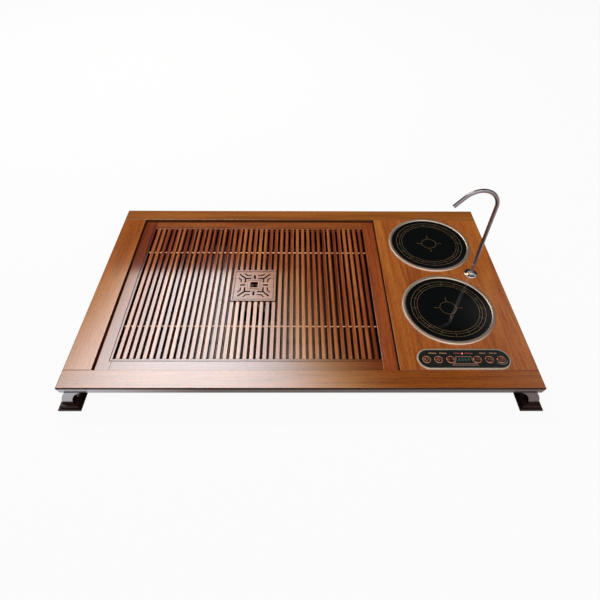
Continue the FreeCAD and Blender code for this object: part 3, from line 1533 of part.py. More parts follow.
def spout_path(body, name):
    """Straight up, over in one bend and down again, in the body's own XZ plane."""
    sketch = sketch_on(body, "XZ_Plane", name)
    rise, bend, sweep, tail = s.spout_rise, s.spout_bend, s.spout_sweep, s.spout_tail
    start = top + s.base_height - s.spout_foot_depth
    low, high = start - top, rise
    over_x, over_z = bend - bend * cosine(sweep), high + bend * sine(sweep)
    end_x, end_z = over_x + tail * sine(sweep), over_z + tail * cosine(sweep)
    sketch.addGeometry(Part.LineSegment(point(0, low), point(0, high)), False)
    turn = math.pi - math.radians(float(sweep))
    circle = Part.Circle(point(bend, high), point(0, 0, 1), float(bend))
    sketch.addGeometry(Part.ArcOfCircle(circle, turn, math.pi), False)
    sketch.addGeometry(Part.LineSegment(point(over_x, over_z), point(end_x, end_z)), False)
    sketch.addConstraint(Sketcher.Constraint("Coincident", 0, 2, 1, 2))
    sketch.addConstraint(Sketcher.Constraint("Coincident", 1, 1, 2, 1))
    tie_point(sketch, 0, 1, 0, low)
    tie_point(sketch, 0, 2, 0, high)
    tie_point(sketch, 1, 3, bend, high)
    tie(sketch, "DistanceX", 1, 1, over_x)
    tie_point(sketch, 2, 2, end_x, end_z)
    return sketch


def make_spout():
    body = new_body("spout_tube")
    path = spout_path(body, "spout_path")
    start = s.base_height - s.spout_foot_depth
    for kind, name, radius in (("PartDesign::AdditivePipe", "tube_wall", s.spout_radius),
                               ("PartDesign::SubtractivePipe", "tube_bore", s.spout_bore)):
        section = sketch_on(body, "XY_Plane", f"{name}_circle", start)
        add_circle(section, 0, 0, radius)
        pipe = body.newObject(kind, name)
        pipe.Profile = section
        pipe.Spine = (path, ["Edge1", "Edge2", "Edge3"])
    body.Placement = FreeCAD.Placement(point(0, 0, 0), FreeCAD.Rotation(point(0, 0, 1), SIZES["spout_heading"]))
    body.setExpression("Placement.Rotation.Angle", s.spout_heading.text)
    seat(body, spout_x, spout_y, top)
    keep(body, "spout_tube")


def make_pump():
    """A small motor with a round pump head and two ports."""
    motor = bar_along_y("pump_motor", pump_x, pump_y, pump_z, s.pump_radius, s.pump_length)
    head = bar_along_y("pump_head", pump_x, pump_y - s.pump_head_length, pump_z, s.pump_head_radius,
                       s.pump_head_length)
    outlet = bar_along_y("pump_outlet", pump_x, pump_y - s.pump_head_length - s.port_length, pump_z, s.barb_radius,
                         s.port_length)
    inlet = bar_along_y("pump_inlet", pump_x, pump_y + s.pump_length, pump_z, s.barb_radius, s.port_length)
    saddle = block("pump_saddle", (pump_x - s.pump_radius, pump_x + s.pump_radius),
                   (pump_y, pump_y + s.pump_length), (case_floor, pump_z - s.pump_radius * 0.5))
    keep(fuse("pump_whole", [motor, head, outlet, inlet, saddle]), "pump")


def bend_radius(before, corner, after, share=0.45):
    """The largest arc that a corner's two runs allow."""
    turn = (corner - before).getAngle(after - corner)
    run = min((corner - before).Length, (after - corner).Length)
    return share * run / math.tan(turn / 2)


def hose_path(stops):
    """Straight runs joined by tangent arcs."""
    edges = []
    at = stops[0]
    for before, corner, after in zip(stops, stops[1:], stops[2:]):
        back_way = (before - corner).normalize()
        on_way = (after - corner).normalize()
        turn = math.pi - back_way.getAngle(on_way)
        radius = bend_radius(before, corner, after)
        reach = radius * math.tan(turn / 2)
        start, end = corner + back_way * reach, corner + on_way * reach
        centre = corner + (back_way + on_way).normalize() * (radius / math.cos(turn / 2))
        middle = centre + (corner - centre).normalize() * radius
        edges.append(Part.LineSegment(at, start).toShape())
        edges.append(Part.Arc(start, middle, end).toShape())
        at = end
    edges.append(Part.LineSegment(at, stops[-1]).toShape())
    return Part.Wire(edges)


def swept(path, radius, stops):
    start_way = (stops[1] - stops[0]).normalize()
    ring = Part.Wire([Part.Circle(stops[0], start_way, float(radius)).toShape()])
    return path.makePipeShell([ring], True, False)


def hose(stops):
    path = hose_path(stops)
    wall = swept(path, s.hose_radius, stops)
    bore = swept(path, s.barb_radius + s.swivel_gap, stops)
    return wall.cut(bore)


def make_hoses():
    """The hose from the pump up to the spout, and the one from the water inlet to the pump."""
    out_port = pump_y - s.pump_head_length - s.port_length
    low = stem_bottom - s.barb_length * 3
    turn_y = inverter_y(hob_places["front"]) + s.inverter_depth / 2 + s.hose_turn_gap
    outlet = hose([point(pump_x, out_port + s.port_length * 0.7, pump_z), point(pump_x, turn_y, pump_z),
                   point(spout_x, turn_y, low + 1), point(spout_x, spout_y, low),
                   point(spout_x, spout_y, stem_bottom - 0.5)])
    in_port = pump_y + s.pump_length + s.port_length
    inner_tip = bay_back - s.case_sheet - s.inlet_flange - s.port_length
    inlet = hose([point(pump_x, in_port - s.port_length * 0.7, pump_z), point(pump_x, in_port + 14, pump_z),
                  point(spout_x, in_port + 30, pump_z + 1), point(spout_x, inner_tip - s.hose_run, inlet_z),
                  point(spout_x, inner_tip + s.port_length * 0.7, inlet_z)])
    fixed_shape("water_hoses", Part.makeCompound([outlet, inlet]))


def make_inlets():
    """The water inlet spigot and the cable gland in the back of the case."""
    y = bay_back
    flange = bar_along_y("inlet_flange", spout_x, y, inlet_z, s.inlet_flange_radius, s.inlet_flange)
    tube = bar_along_y("inlet_tube", spout_x, y - s.case_sheet - s.inlet_flange - s.port_length, inlet_z,
                       s.barb_radius, s.port_length + s.inlet_flange + s.case_sheet + s.inlet_reach)
    bore = bar_along_y("inlet_bore", spout_x, y - s.inlet_reach, inlet_z, s.barb_bore, 3 * s.inlet_reach)
    keep(cut("water_inlet_cut", fuse("water_inlet_blank", [flange, tube]), bore), "water_inlet")
    flange = bar_along_y("gland_flange", gland_x, y, inlet_z, s.gland_flange_radius, s.inlet_flange)
    sleeve = bar_along_y("gland_sleeve", gland_x, y - s.case_sheet - s.inlet_flange, inlet_z, s.gland_radius,
                         s.case_sheet + 2 * s.inlet_flange + s.gland_reach)
    bore = bar_along_y("gland_bore", gland_x, y - s.inlet_reach, inlet_z, s.gland_bore, 3 * s.inlet_reach)
    keep(cut("cable_gland_cut", fuse("cable_gland_blank", [flange, sleeve]), bore), "cable_gland")


def check_and_write():
    """Stops on any failed object or bad shape, then writes one file for each piece."""
    doc.recompute()
    for thing in doc.Objects:
        if "Invalid" in thing.State or "Error" in thing.State:
            raise RuntimeError(f"{thing.Label} failed: {thing.State}")
    for feature, before in pocket_checks:
        if before is not None and feature.Shape.Volume >= before.Shape.Volume - 1e-3:
            raise RuntimeError(f"{feature.Label} cuts nothing")
    os.makedirs("parts", exist_ok=True)
    for thing in pieces:
        if thing.Shape.isNull() or not thing.Shape.isValid():
            raise RuntimeError(f"{thing.Label} has a bad shape")
        thing.Shape.exportStep(f"parts/{thing.Label}.step")
    print(len(pieces), "pieces,", sum(len(thing.Shape.Solids) for thing in pieces), "solids")


make_rails()
make_left_stile()
make_hob_panel()
make_bearers()
make_bearer_screws()
make_feet()
make_foot_hardware()
make_drain_pan()
make_spigot()
make_tray_frame(tray_line_tool())
make_slats()
make_medallion_frame()
make_medallion_plate()
make_hot_plates()
make_case()
make_case_screws()
make_inverters()
make_heat_sinks()
make_fan_frame()
make_fan_rotor()
make_bezel()
make_face()
for number, key_x in enumerate(key_places, start=1):
    make_key(f"key_{number}", key_x)
make_control_board()
make_display()
make_spout_base()
make_spout_nut()
make_spout()
make_pump()
make_hoses()
make_inlets()
check_and_write()
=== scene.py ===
"""Looks of the gongfu tea table: materials, finely modelled trim, lights and camera.

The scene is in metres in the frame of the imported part: origin on the floor under the middle
of the table, +X towards the hot plates, +Y to the back, +Z up. Profiles and prints are given in
millimetres from the place where they sit.
"""

import json
import math

import bmesh
import bpy
from mathutils import Matrix, Vector


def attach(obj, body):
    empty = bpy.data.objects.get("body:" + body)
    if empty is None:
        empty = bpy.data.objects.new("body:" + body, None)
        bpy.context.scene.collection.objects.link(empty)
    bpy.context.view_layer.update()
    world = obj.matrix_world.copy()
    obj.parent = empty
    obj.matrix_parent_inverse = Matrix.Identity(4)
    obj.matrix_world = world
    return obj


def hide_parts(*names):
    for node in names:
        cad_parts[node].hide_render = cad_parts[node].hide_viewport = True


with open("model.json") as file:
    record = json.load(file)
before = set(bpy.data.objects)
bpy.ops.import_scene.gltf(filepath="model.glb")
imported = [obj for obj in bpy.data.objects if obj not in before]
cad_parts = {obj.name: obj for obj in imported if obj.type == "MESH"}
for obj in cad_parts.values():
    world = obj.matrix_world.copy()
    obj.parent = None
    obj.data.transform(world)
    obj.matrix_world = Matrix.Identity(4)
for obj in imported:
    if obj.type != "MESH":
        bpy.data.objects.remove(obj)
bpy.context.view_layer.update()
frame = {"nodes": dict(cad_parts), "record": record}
nodes = frame["nodes"]
bodies = frame["record"]["behaviour"]["bodies"]
body_of_node = {node: body for body, members in bodies.items() for node in members}
slot_of_node = {entry["node"]: entry["material_slot"] for entry in frame["record"]["subparts"]}

MM = 0.001
HALF_LENGTH = 450 * MM
HALF_DEPTH = 270 * MM
TOP = 62 * MM
HOBS = {"front": (312.5 * MM, -73 * MM), "rear": (312.5 * MM, 137 * MM)}
BETWEEN_HOBS = 32 * MM
PANEL = (313 * MM, -205 * MM)
FACE_TOP = TOP + 1.4 * MM
KEY_X = [-72, -49, -26, 26, 49, 72]
KEY_Y = -206.5 * MM
SPOUT = (388 * MM, 33 * MM)
SLAT_PITCH = 12.92 * MM
# Keeps the numbers that tint the slats positive. A number changes 4.9 mm from a slat's left
# edge, so each slat shows two tints.
SLAT_PHASE = 1.0 + 104.5 * MM
WHITE = (1, 1, 1, 1)


# Node materials

def paint(text):
    """A linear colour from a hexadecimal sRGB one."""
    channels = [int(text[start:start + 2], 16) / 255 for start in (0, 2, 4)]
    linear = [value / 12.92 if value <= 0.04045 else ((value + 0.055) / 1.055) ** 2.4
              for value in channels]
    return (*linear, 1.0)


class Tree:
    """A node tree being put together. Values are numbers, colours or sockets."""

    def __init__(self, tree):
        self.tree = tree

    def feed(self, socket, value):
        if isinstance(value, bpy.types.NodeSocket):
            self.tree.links.new(value, socket)
        else:
            socket.default_value = value

    def node(self, kind, inputs=None, **settings):
        made = self.tree.nodes.new(kind)
        for name, value in settings.items():
            setattr(made, name, value)
        for name, value in (inputs or {}).items():
            self.feed(made.inputs[name], value)
        return made

    def parts(self, vector):
        """X, Y and Z of a vector."""
        return self.node("ShaderNodeSeparateXYZ", {0: vector}).outputs

    def math(self, operation, a, b=0.0, c=0.0):
        return self.node("ShaderNodeMath", {0: a, 1: b, 2: c}, operation=operation).outputs[0]

    def vector_math(self, operation, a, b=(0, 0, 0)):
        return self.node("ShaderNodeVectorMath", {0: a, 1: b}, operation=operation).outputs

    def times(self, a, b):
        return self.math("MULTIPLY", a, b)

    def less(self, amount, share):
        """An amount lowered by a share of itself."""
        return self.times(amount, self.math("SUBTRACT", 1.0, share))

    def swing(self, texture, amount):
        """How far a texture is from its middle, times an amount."""
        return self.times(self.math("SUBTRACT", texture, 0.5), amount)

    def near(self, value, target, distance):
        """1 where a value is less than a distance from its target, otherwise 0."""
        apart = self.math("ABSOLUTE", self.math("SUBTRACT", value, target))
        return self.math("LESS_THAN", apart, distance)

    def between(self, value, start, stop, first=0.0, last=1.0, kind="LINEAR"):
        """Goes from first, where the value is at start, to last, where it is at stop."""
        inputs = {"Value": value, "From Min": start, "From Max": stop, "To Min": first,
                  "To Max": last}
        return self.node("ShaderNodeMapRange", inputs, interpolation_type=kind).outputs[0]

    def fade(self, *limits):
        """The same with soft ends."""
        return self.between(*limits, kind="SMOOTHSTEP")

    def mix(self, factor, a, b, blend="MIX"):
        made = self.node("ShaderNodeMix", data_type="RGBA", blend_type=blend)
        for index, value in ((0, factor), (6, a), (7, b)):
            self.feed(made.inputs[index], value)
        return made.outputs[2]


class Look(Tree):
    """A material being put together from nodes."""

    def __init__(self, name, **sockets):
        self.material = bpy.data.materials.new(name)
        self.material.use_nodes = True
        super().__init__(self.material.node_tree)
        self.shader = self.tree.nodes["Principled BSDF"]
        self.place = self.node("ShaderNodeTexCoord").outputs["Object"]
        self.set(**sockets)

    def set(self, **sockets):
        for name, value in sockets.items():
            self.feed(self.shader.inputs[name.replace("_", " ")], value)

    def stretched(self, scale, shift=(0, 0, 0)):
        """The object's own coordinates, scaled along each axis, or all alike by one number."""
        scale = scale if isinstance(scale, tuple) else (scale, scale, scale)
        inputs = {"Vector": self.place, "Scale": scale, "Location": shift}
        return self.node("ShaderNodeMapping", inputs).outputs[0]

    def noise(self, vector, detail=2, roughness=0.5, distortion=0.0):
        inputs = {"Vector": vector, "Scale": 1.0, "Detail": detail, "Roughness": roughness,
                  "Distortion": distortion}
        return self.node("ShaderNodeTexNoise", inputs).outputs["Fac"]

    def ramp(self, factor, *stops):
        """Colour stops, each a position with a colour or a grey."""
        made = self.node("ShaderNodeValToRGB", {"Fac": factor})
        band = made.color_ramp
        while len(band.elements) < len(stops):
            band.elements.new(0.5)
        for element, (position, colour) in zip(band.elements, stops):
            element.position = position
            grey = isinstance(colour, (int, float))
            element.color = (colour, colour, colour, 1) if grey else colour
        return made.outputs["Color"]

    def bump(self, height, distance, strength):
        inputs = {"Height": height, "Distance": distance, "Strength": strength}
        self.set(Normal=self.node("ShaderNodeBump", inputs).outputs[0])

    def radius_from(self, x, y):
        """Distance from an upright axis, in metres."""
        moved = self.vector_math("SUBTRACT", self.place, (x, y, 0))[0]
        flat = self.vector_math("MULTIPLY", moved, (1, 1, 0))[0]
        return self.vector_math("LENGTH", flat)["Value"]


def along(axis, length_scale, cross_scale):
    """Scales for a texture drawn out along one axis."""
    return tuple(length_scale if name == axis else cross_scale for name in "XYZ")


# Layers of grain: scales along and across it, then detail, roughness and distortion of the noise.
GRAIN = {"rings": (0.9, 8, 2, 0.5, 0.3), "broad": (1.6, 11, 2, 0.5), "bands": (3.5, 95, 2, 0.6),
         "fibre": (14, 520, 3, 0.65), "pores": (85, 900, 2, 0.6)}
RING_PHASE = 60.0
RING_WEIGHT = 0.03
TONE_WEIGHTS = {"broad": 0.55, "bands": 0.55, "fibre": 0.65}
TINT_WEIGHT = 0.45
TONE_STOPS = (0.26, 0.5, 0.76)
PORE_STOPS = (0.33, 0.42)
PORE_DARKNESS = 0.6
RELIEF = {"fibre": 0.6, "flecks": -0.4}
RELIEF_DEPTH = 0.05 * MM

EDGE_STAIN = paint("2A1714")
# Near-black: the matt line under the table's top edge, and painted shade on a foot's inner and
# lower faces.
NEAR_BLACK = paint("140A08")
# Painted shade for upright walls, such as the recess's walls and the sides of the slots.
WALL_PAINTED_SHADE = paint("1C0D08")
EDGE_FROM = 0.986  # share of the table's half size
EDGE_SETS_IN = (TOP - 0.02 * MM, TOP - 0.15 * MM)
LIP_SETS_IN = (TOP - 4.6 * MM, TOP - 3.9 * MM)
LIP_DULLNESS = 0.9
# How far a face's normal points away from the table's middle while painted shade turns a foot's
# face black.
FOOT_INWARD = (-0.05, -0.2)
# How far it points up while painted shade turns a foot's face black.
FOOT_DOWNWARD = (-0.03, -0.15)
# How far it points up or down while a face turns into a wall with painted shade.
WALL_UPRIGHT = (0.96, 0.72)
SOLE_SETS_IN = (13 * MM, 11 * MM)
SOLE_DULLNESS = 0.88


def slat_tint(look, spot):
    """A random number that changes once in each slat and moves the grain along with it."""
    index = look.math("DIVIDE", look.math("ADD", spot[0], SLAT_PHASE), SLAT_PITCH)
    tint = look.node("ShaderNodeTexWhiteNoise", {"W": look.math("FLOOR", index)},
                     noise_dimensions="1D").outputs["Value"]
    jump = look.node("ShaderNodeCombineXYZ", {0: look.times(tint, 3.0), 1: look.times(tint, 7.0)})
    look.place = look.vector_math("ADD", look.place, jump.outputs[0])[0]
    return tint


def stain_edge(look, spot, colour, coat):
    """Stains the table's outer edge, with a matt lip at its top; also says what is outside."""
    reach = look.math("MAXIMUM", look.math("DIVIDE", look.math("ABSOLUTE", spot[0]), HALF_LENGTH),
                      look.math("DIVIDE", look.math("ABSOLUTE", spot[1]), HALF_DEPTH))
    outside = look.math("GREATER_THAN", reach, EDGE_FROM)
    below = look.times(outside, look.between(spot[2], *EDGE_SETS_IN))
    lip = look.times(below, look.between(spot[2], *LIP_SETS_IN))
    colour = look.mix(lip, look.mix(below, colour, EDGE_STAIN), NEAR_BLACK)
    return colour, look.less(coat, look.times(lip, LIP_DULLNESS)), outside


def paint_foot_shade(look, spot, facing, colour, coat):
    """Paints shade on a foot's inner and lower faces, black and matt, and makes its sole duller.
    """
    outward = look.times(look.math("SIGN", spot[0]), facing[0])
    painted_shade = look.math("MAXIMUM", look.between(outward, *FOOT_INWARD),
                       look.between(facing[2], *FOOT_DOWNWARD))
    sole = look.times(look.between(spot[2], *SOLE_SETS_IN), SOLE_DULLNESS)
    return look.mix(painted_shade, colour, NEAR_BLACK), look.less(coat, look.math("MAXIMUM", painted_shade, sole))


def shade_walls(look, facing, colour, coat, wall_shade):
    """Paints shade on upright faces: darkens them and takes their gloss."""
    upright = look.between(look.math("ABSOLUTE", facing[2]), *WALL_UPRIGHT)
    wall = look.times(upright, wall_shade)
    return look.mix(wall, colour, WALL_PAINTED_SHADE), look.less(coat, wall)


def wood(name, axis, tones, seed, gloss=0.11, coat=1.0, coat_ior=2.0, per_slat=False,
         stained_edge=False, wall_shade=0.0, foot=False):
    """Lacquered hardwood in a pale, a middle and a dark tone, with its grain along an axis.

    Soft bands, fine fibres and short pores lie under a clear coat. The table's outer edge can
    be stained dark, upright walls can get painted shade, darker and less glossy than the rest,
    and a foot's inner and lower faces can get painted shade.
    """
    pale, middle, dark = (paint(tone) for tone in tones.split())
    look = Look(name)
    shift = (seed * 1.7, seed * 0.9, seed * 2.3)
    spot = look.parts(look.place)
    tint = slat_tint(look, spot) if per_slat else None

    layers = {layer: look.noise(look.stretched(along(axis, length, cross), shift), *texture)
              for layer, (length, cross, *texture) in GRAIN.items()}
    rings = look.math("SINE", look.times(layers["rings"], RING_PHASE))
    tone = look.math("MULTIPLY_ADD", rings, RING_WEIGHT, 0.5)
    for layer, weight in TONE_WEIGHTS.items():
        tone = look.math("ADD", tone, look.swing(layers[layer], weight))
    if per_slat:
        tone = look.math("ADD", tone, look.swing(tint, TINT_WEIGHT))
    colour = look.ramp(tone, *zip(TONE_STOPS, (dark, middle, pale)))
    flecks = look.ramp(layers["pores"], *zip(PORE_STOPS, (1.0, 0.0)))
    colour = look.mix(look.times(flecks, PORE_DARKNESS), colour, dark, "MULTIPLY")

    facing = look.parts(look.node("ShaderNodeNewGeometry").outputs["True Normal"])
    if stained_edge:
        colour, coat, outside = stain_edge(look, spot, colour, coat)
        wall_shade = look.less(wall_shade, outside)
    if foot:
        colour, coat = paint_foot_shade(look, spot, facing, colour, coat)
    if wall_shade:
        colour, coat = shade_walls(look, facing, colour, coat, wall_shade)
    look.set(Base_Color=colour, Roughness=0.6, Specular_IOR_Level=0.05, Coat_Weight=coat,
             Coat_Roughness=gloss, Coat_IOR=coat_ior)
    relief = look.math("ADD", look.times(layers["fibre"], RELIEF["fibre"]),
                       look.times(flecks, RELIEF["flecks"]))
    look.bump(relief, RELIEF_DEPTH, strength=0.4)
    return look.material


WORN = (0.35, 0.34, 0.33, 1)
WORN_SHARE = 0.25
BRUSHED_STRETCH = 60
TURNED_LINES = 900.0
CLOUD_SCALE = 14


def metal(name, tone, roughness, brushed="X", fine=1800, turned_about=None):
    """Bare or anodised metal, brushed along an axis or turned on a lathe."""
    look = Look(name, Metallic=1.0)
    if turned_about:
        lines = look.times(look.radius_from(*turned_about), TURNED_LINES)
        vector = look.node("ShaderNodeCombineXYZ", {0: lines}).outputs[0]
        grain = look.noise(vector, detail=3, roughness=0.7)
    else:
        vector = look.stretched(along(brushed, fine / BRUSHED_STRETCH, fine))
        grain = look.noise(vector, detail=3, roughness=0.6)
    cloud = look.noise(look.stretched(CLOUD_SCALE))
    shade = look.mix(look.times(grain, WORN_SHARE), paint(tone), WORN, "MULTIPLY")
    for texture, amount in ((grain, 0.12), (cloud, 0.08)):
        roughness = look.math("ADD", roughness, look.swing(texture, amount))
    look.set(Base_Color=shade, Roughness=roughness)
    look.bump(grain, 0.01 * MM, strength=0.4)
    return look.material


MOTTLE_SCALE = 35
MOTTLE_SHARE = 0.4
MOTTLE_DARKNESS = 0.7


def plastic(name, tone, roughness, texture=2200, depth=0.03, coat=0.0):
    """Moulded plastic or rubber with a fine eroded texture, its depth in mm, and mottling."""
    look = Look(name)
    colour = paint(tone)
    skin = look.noise(look.stretched(texture))
    mottle = look.noise(look.stretched(MOTTLE_SCALE), detail=3, roughness=0.55)
    darker = (*(part * MOTTLE_DARKNESS for part in colour[:3]), 1)
    rough = look.math("ADD", roughness, look.swing(mottle, 0.15))
    look.set(Base_Color=look.mix(look.times(mottle, MOTTLE_SHARE), colour, darker),
             Roughness=rough, Coat_Weight=coat, Coat_Roughness=0.08)
    look.bump(skin, depth * MM, strength=0.35)
    return look.material


TRACK_SCALE = 260
DUST_SCALE = 90
DUST_SHARE = 0.4


def circuit(name):
    """A green board with paler tracks under the lacquer."""
    look = Look(name)
    tracks = {"Vector": look.stretched(TRACK_SCALE), "Scale": 1.0, "Mortar Size": 0.06,
              "Color1": paint("0E5A38"), "Color2": paint("0B4A30"), "Mortar": paint("2E8A5A")}
    cells = look.node("ShaderNodeTexBrick", tracks).outputs["Color"]
    dust = look.noise(look.stretched(DUST_SCALE), detail=3, roughness=0.6)
    colour = look.mix(look.times(dust, DUST_SHARE), cells, paint("062A1C"))
    look.set(Base_Color=colour, Roughness=0.35)
    return look.material


# Radius and line width of each printed ring, in mm.
GLASS_RINGS = ((78, 0.8), (70.5, 0.6), (65, 0.7), (17, 0.7))
# Radial ticks: from and to which radius in mm, how many, and the share of a step they take up.
GLASS_TICKS = ((65, 78, 16, 0.018), (17, 30, 4, 0.02))
# Keeps the turns positive and puts a tick at the right of the disc.
TICK_SHIFT = 10.5
SPECKLE_SCALE = 1500


def dark_glass(name):
    """Black ceramic glass with gold rings and short radial ticks printed on each disc."""
    look = Look(name)
    spot = look.parts(look.place)
    (x, front_y), (_, rear_y) = HOBS["front"], HOBS["rear"]
    rear = look.math("GREATER_THAN", spot[1], BETWEEN_HOBS)
    middle_y = look.math("MULTIPLY_ADD", rear, rear_y - front_y, front_y)
    across = look.math("SUBTRACT", spot[0], x)
    back = look.math("SUBTRACT", spot[1], middle_y)
    squares = look.math("ADD", look.times(across, across), look.times(back, back))
    radius = look.math("SQRT", squares)
    angle = look.math("DIVIDE", look.math("ARCTAN2", back, across), math.tau)

    def ring(at, width):
        return look.near(radius, at * MM, width * MM / 2)

    def ticks(low, high, count, share):
        turn = look.math("FRACT", look.math("MULTIPLY_ADD", angle, float(count), TICK_SHIFT))
        inside = look.times(look.math("GREATER_THAN", radius, low * MM),
                            look.math("LESS_THAN", radius, high * MM))
        return look.times(inside, look.near(turn, 0.5, share / 2))

    printed = 0.0
    for shape in [ring(*row) for row in GLASS_RINGS] + [ticks(*row) for row in GLASS_TICKS]:
        printed = look.math("MAXIMUM", printed, shape)
    speckle = look.noise(look.stretched(SPECKLE_SCALE))
    black = look.ramp(speckle, (0.45, paint("08090A")), (0.72, paint("16181A")))
    look.set(Base_Color=look.mix(printed, black, paint("B79A6A")), Roughness=0.06, IOR=1.5,
             Metallic=look.times(printed, 0.6))
    return look.material


# Mesh pieces

def finish_piece(mesh, name, node_names, body, slot, *looks, smooth=35):
    """Puts a mesh in the scene as a piece that rides on a body and stands for CAD nodes.

    Edges sharper than smooth, in degrees, stay hard. Without it the shading stays as it is.
    """
    mesh.validate()
    made = bpy.data.objects.new(name, mesh)
    bpy.context.scene.collection.objects.link(made)
    for look in looks:
        mesh.materials.append(look)
    if smooth:
        mesh.shade_smooth()
        mesh.set_sharp_from_angle(angle=math.radians(smooth))
    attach(made, body)
    if node_names:
        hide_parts(*node_names)


def mesh_from(name, shape):
    """A mesh made of what was built, with its faces turned outward."""
    mesh = bpy.data.meshes.new(name)
    bmesh.ops.recalc_face_normals(shape, faces=shape.faces)
    shape.to_mesh(mesh)
    shape.free()
    return mesh


def bridge(shape, row, following):
    """Faces between two closed rows of corners."""
    for step in range(len(row)):
        after = (step + 1) % len(row)
        shape.faces.new((row[step], row[after], following[after], following[step]))


def full_turn(steps):
    """The angles of points spaced evenly round a circle."""
    return [math.tau * step / steps for step in range(steps)]


ROUND_STEPS = 3
LONGEST_ROUNDING = 0.45  # share of an edge
ON_AXIS = 1e-6


def rounded(profile):
    """The same closed profile with its corners rounded; a corner is (radius, height, rounding)."""
    result = []
    for index, (radius, height, rounding) in enumerate(profile):
        here = Vector((radius, height))
        if rounding <= 0:
            result.append(tuple(here))
            continue
        before = Vector(profile[index - 1][:2]) - here
        after = Vector(profile[(index + 1) % len(profile)][:2]) - here
        reach = min(rounding, before.length * LONGEST_ROUNDING, after.length * LONGEST_ROUNDING)
        start = here + before.normalized() * reach
        end = here + after.normalized() * reach
        for step in range(ROUND_STEPS + 1):
            share = step / ROUND_STEPS
            spot = start * (1 - share) ** 2 + here * 2 * share * (1 - share) + end * share ** 2
            result.append(tuple(spot))
    return result


def lathe(profile, centre, steps):
    """A mesh turned about an upright axis from a closed profile, whose corners are rounded."""
    shape = bmesh.new()
    x, y, z = centre
    rows = []
    for radius, height in rounded(profile):
        if radius < ON_AXIS:
            rows.append([shape.verts.new((x, y, z + height * MM))])
            continue
        rows.append([shape.verts.new((x + radius * MM * math.cos(turn),
                                      y + radius * MM * math.sin(turn), z + height * MM))
                     for turn in full_turn(steps)])
    for row, following in zip(rows, rows[1:] + rows[:1]):
        for step in range(steps):
            after = (step + 1) % steps
            corners = [row[step % len(row)], row[after % len(row)],
                       following[after % len(following)], following[step % len(following)]]
            unique = list(dict.fromkeys(corners))
            if len(unique) > 2:
                shape.faces.new(unique)
    return mesh_from("turned", shape)


TUBE_SIDES = 40
STRAIGHT = 1e-9


def tube(points, outer, inner):
    """A mesh tube through points in one plane, with square open ends."""
    shape = bmesh.new()
    bends = ((b - a).cross(c - b) for a, b, c in zip(points, points[1:], points[2:]))
    plane = next(bend for bend in bends if bend.length > STRAIGHT).normalized()
    shells = []
    for radius in (outer, inner):
        rows = []
        for index, spot in enumerate(points):
            before = points[max(index - 1, 0)]
            after = points[min(index + 1, len(points) - 1)]
            side = (after - before).normalized().cross(plane).normalized()
            rows.append([shape.verts.new(spot + (side * math.cos(turn)
                                                 + plane * math.sin(turn)) * radius)
                         for turn in full_turn(TUBE_SIDES)])
        shells.append(rows)
    for rows in shells:
        for row, following in zip(rows, rows[1:]):
            bridge(shape, row, following)
    for end in (0, -1):
        bridge(shape, shells[0][end], shells[1][end])
    return mesh_from("tube", shape)


def with_modifier(mesh, add):
    """The mesh as it is after a modifier that add puts on an object."""
    helper = bpy.data.objects.new("helper", mesh)
    bpy.context.scene.collection.objects.link(helper)
    add(helper)
    graph = bpy.context.evaluated_depsgraph_get()
    result = bpy.data.meshes.new_from_object(helper.evaluated_get(graph))
    bpy.data.objects.remove(helper)
    return result


SHARP_ANGLE = math.radians(40)
FLAT_ANGLE = math.radians(0.6)
SAME_PLACE = 1e-6
BEVEL_SEGMENTS = 3


def softened(node, look, width):
    """A copy of a CAD node with its hard edges eased by a width in mm, which stands for it."""
    mesh = nodes[node].data.copy()
    mesh.materials.clear()
    shape = bmesh.new()
    shape.from_mesh(mesh)
    bmesh.ops.remove_doubles(shape, verts=shape.verts, dist=SAME_PLACE)
    bmesh.ops.dissolve_limit(shape, angle_limit=FLAT_ANGLE, verts=shape.verts, edges=shape.edges)
    for edge in shape.edges:
        edge.smooth = True
    shape.to_mesh(mesh)
    shape.free()

    def ease(helper):
        bevel = helper.modifiers.new("ease", "BEVEL")
        bevel.width = width * MM
        bevel.segments = BEVEL_SEGMENTS
        bevel.limit_method = "ANGLE"
        bevel.angle_limit = SHARP_ANGLE
        bevel.use_clamp_overlap = True

    def weigh(helper):
        helper.modifiers.new("weigh", "WEIGHTED_NORMAL").keep_sharp = True

    mesh = with_modifier(mesh, ease)
    mesh.shade_smooth()
    mesh.set_sharp_from_angle(angle=SHARP_ANGLE)
    finish_piece(with_modifier(mesh, weigh), f"{node}_eased", [node], body_of_node[node],
                 slot_of_node[node], look, smooth=None)


def dress(look, *names):
    """Gives CAD nodes their material."""
    for name in names:
        mesh = nodes[name].data
        mesh.materials.clear()
        mesh.materials.append(look)


# Woods

# wall_shade is the share of painted shade on upright walls.
OUTER = {"stained_edge": True, "wall_shade": 0.85}
TRAY = {"gloss": 0.08, "wall_shade": 0.9}
SLAT = {"gloss": 0.08, "coat": 0.9, "per_slat": True, "wall_shade": 0.6}
MEDALLION = {"gloss": 0.16, "coat": 0.75, "wall_shade": 0.95}
BEARER_TONES = "B98A58 96683C 6E4524"

dress(wood("rail_lacquer", "X", "BB6A26 A1551A 783812", seed=1, **OUTER), "front_rail")
dress(wood("back_rail_lacquer", "X", "BE7430 A76024 804618", seed=11, **OUTER), "back_rail")
dress(wood("stile_lacquer", "Y", "C06C24 A85712 80400C", seed=2, **OUTER), "left_stile")
dress(wood("panel_lacquer", "Y", "D08236 B86428 883E18", seed=3, **OUTER), "hob_panel")
dress(wood("bearer_timber", "X", BEARER_TONES, seed=9, coat=0.0), "front_bearer", "back_bearer")
dress(wood("cross_bearer_timber", "Y", BEARER_TONES, seed=10, coat=0.0), "left_bearer",
      "middle_bearer")

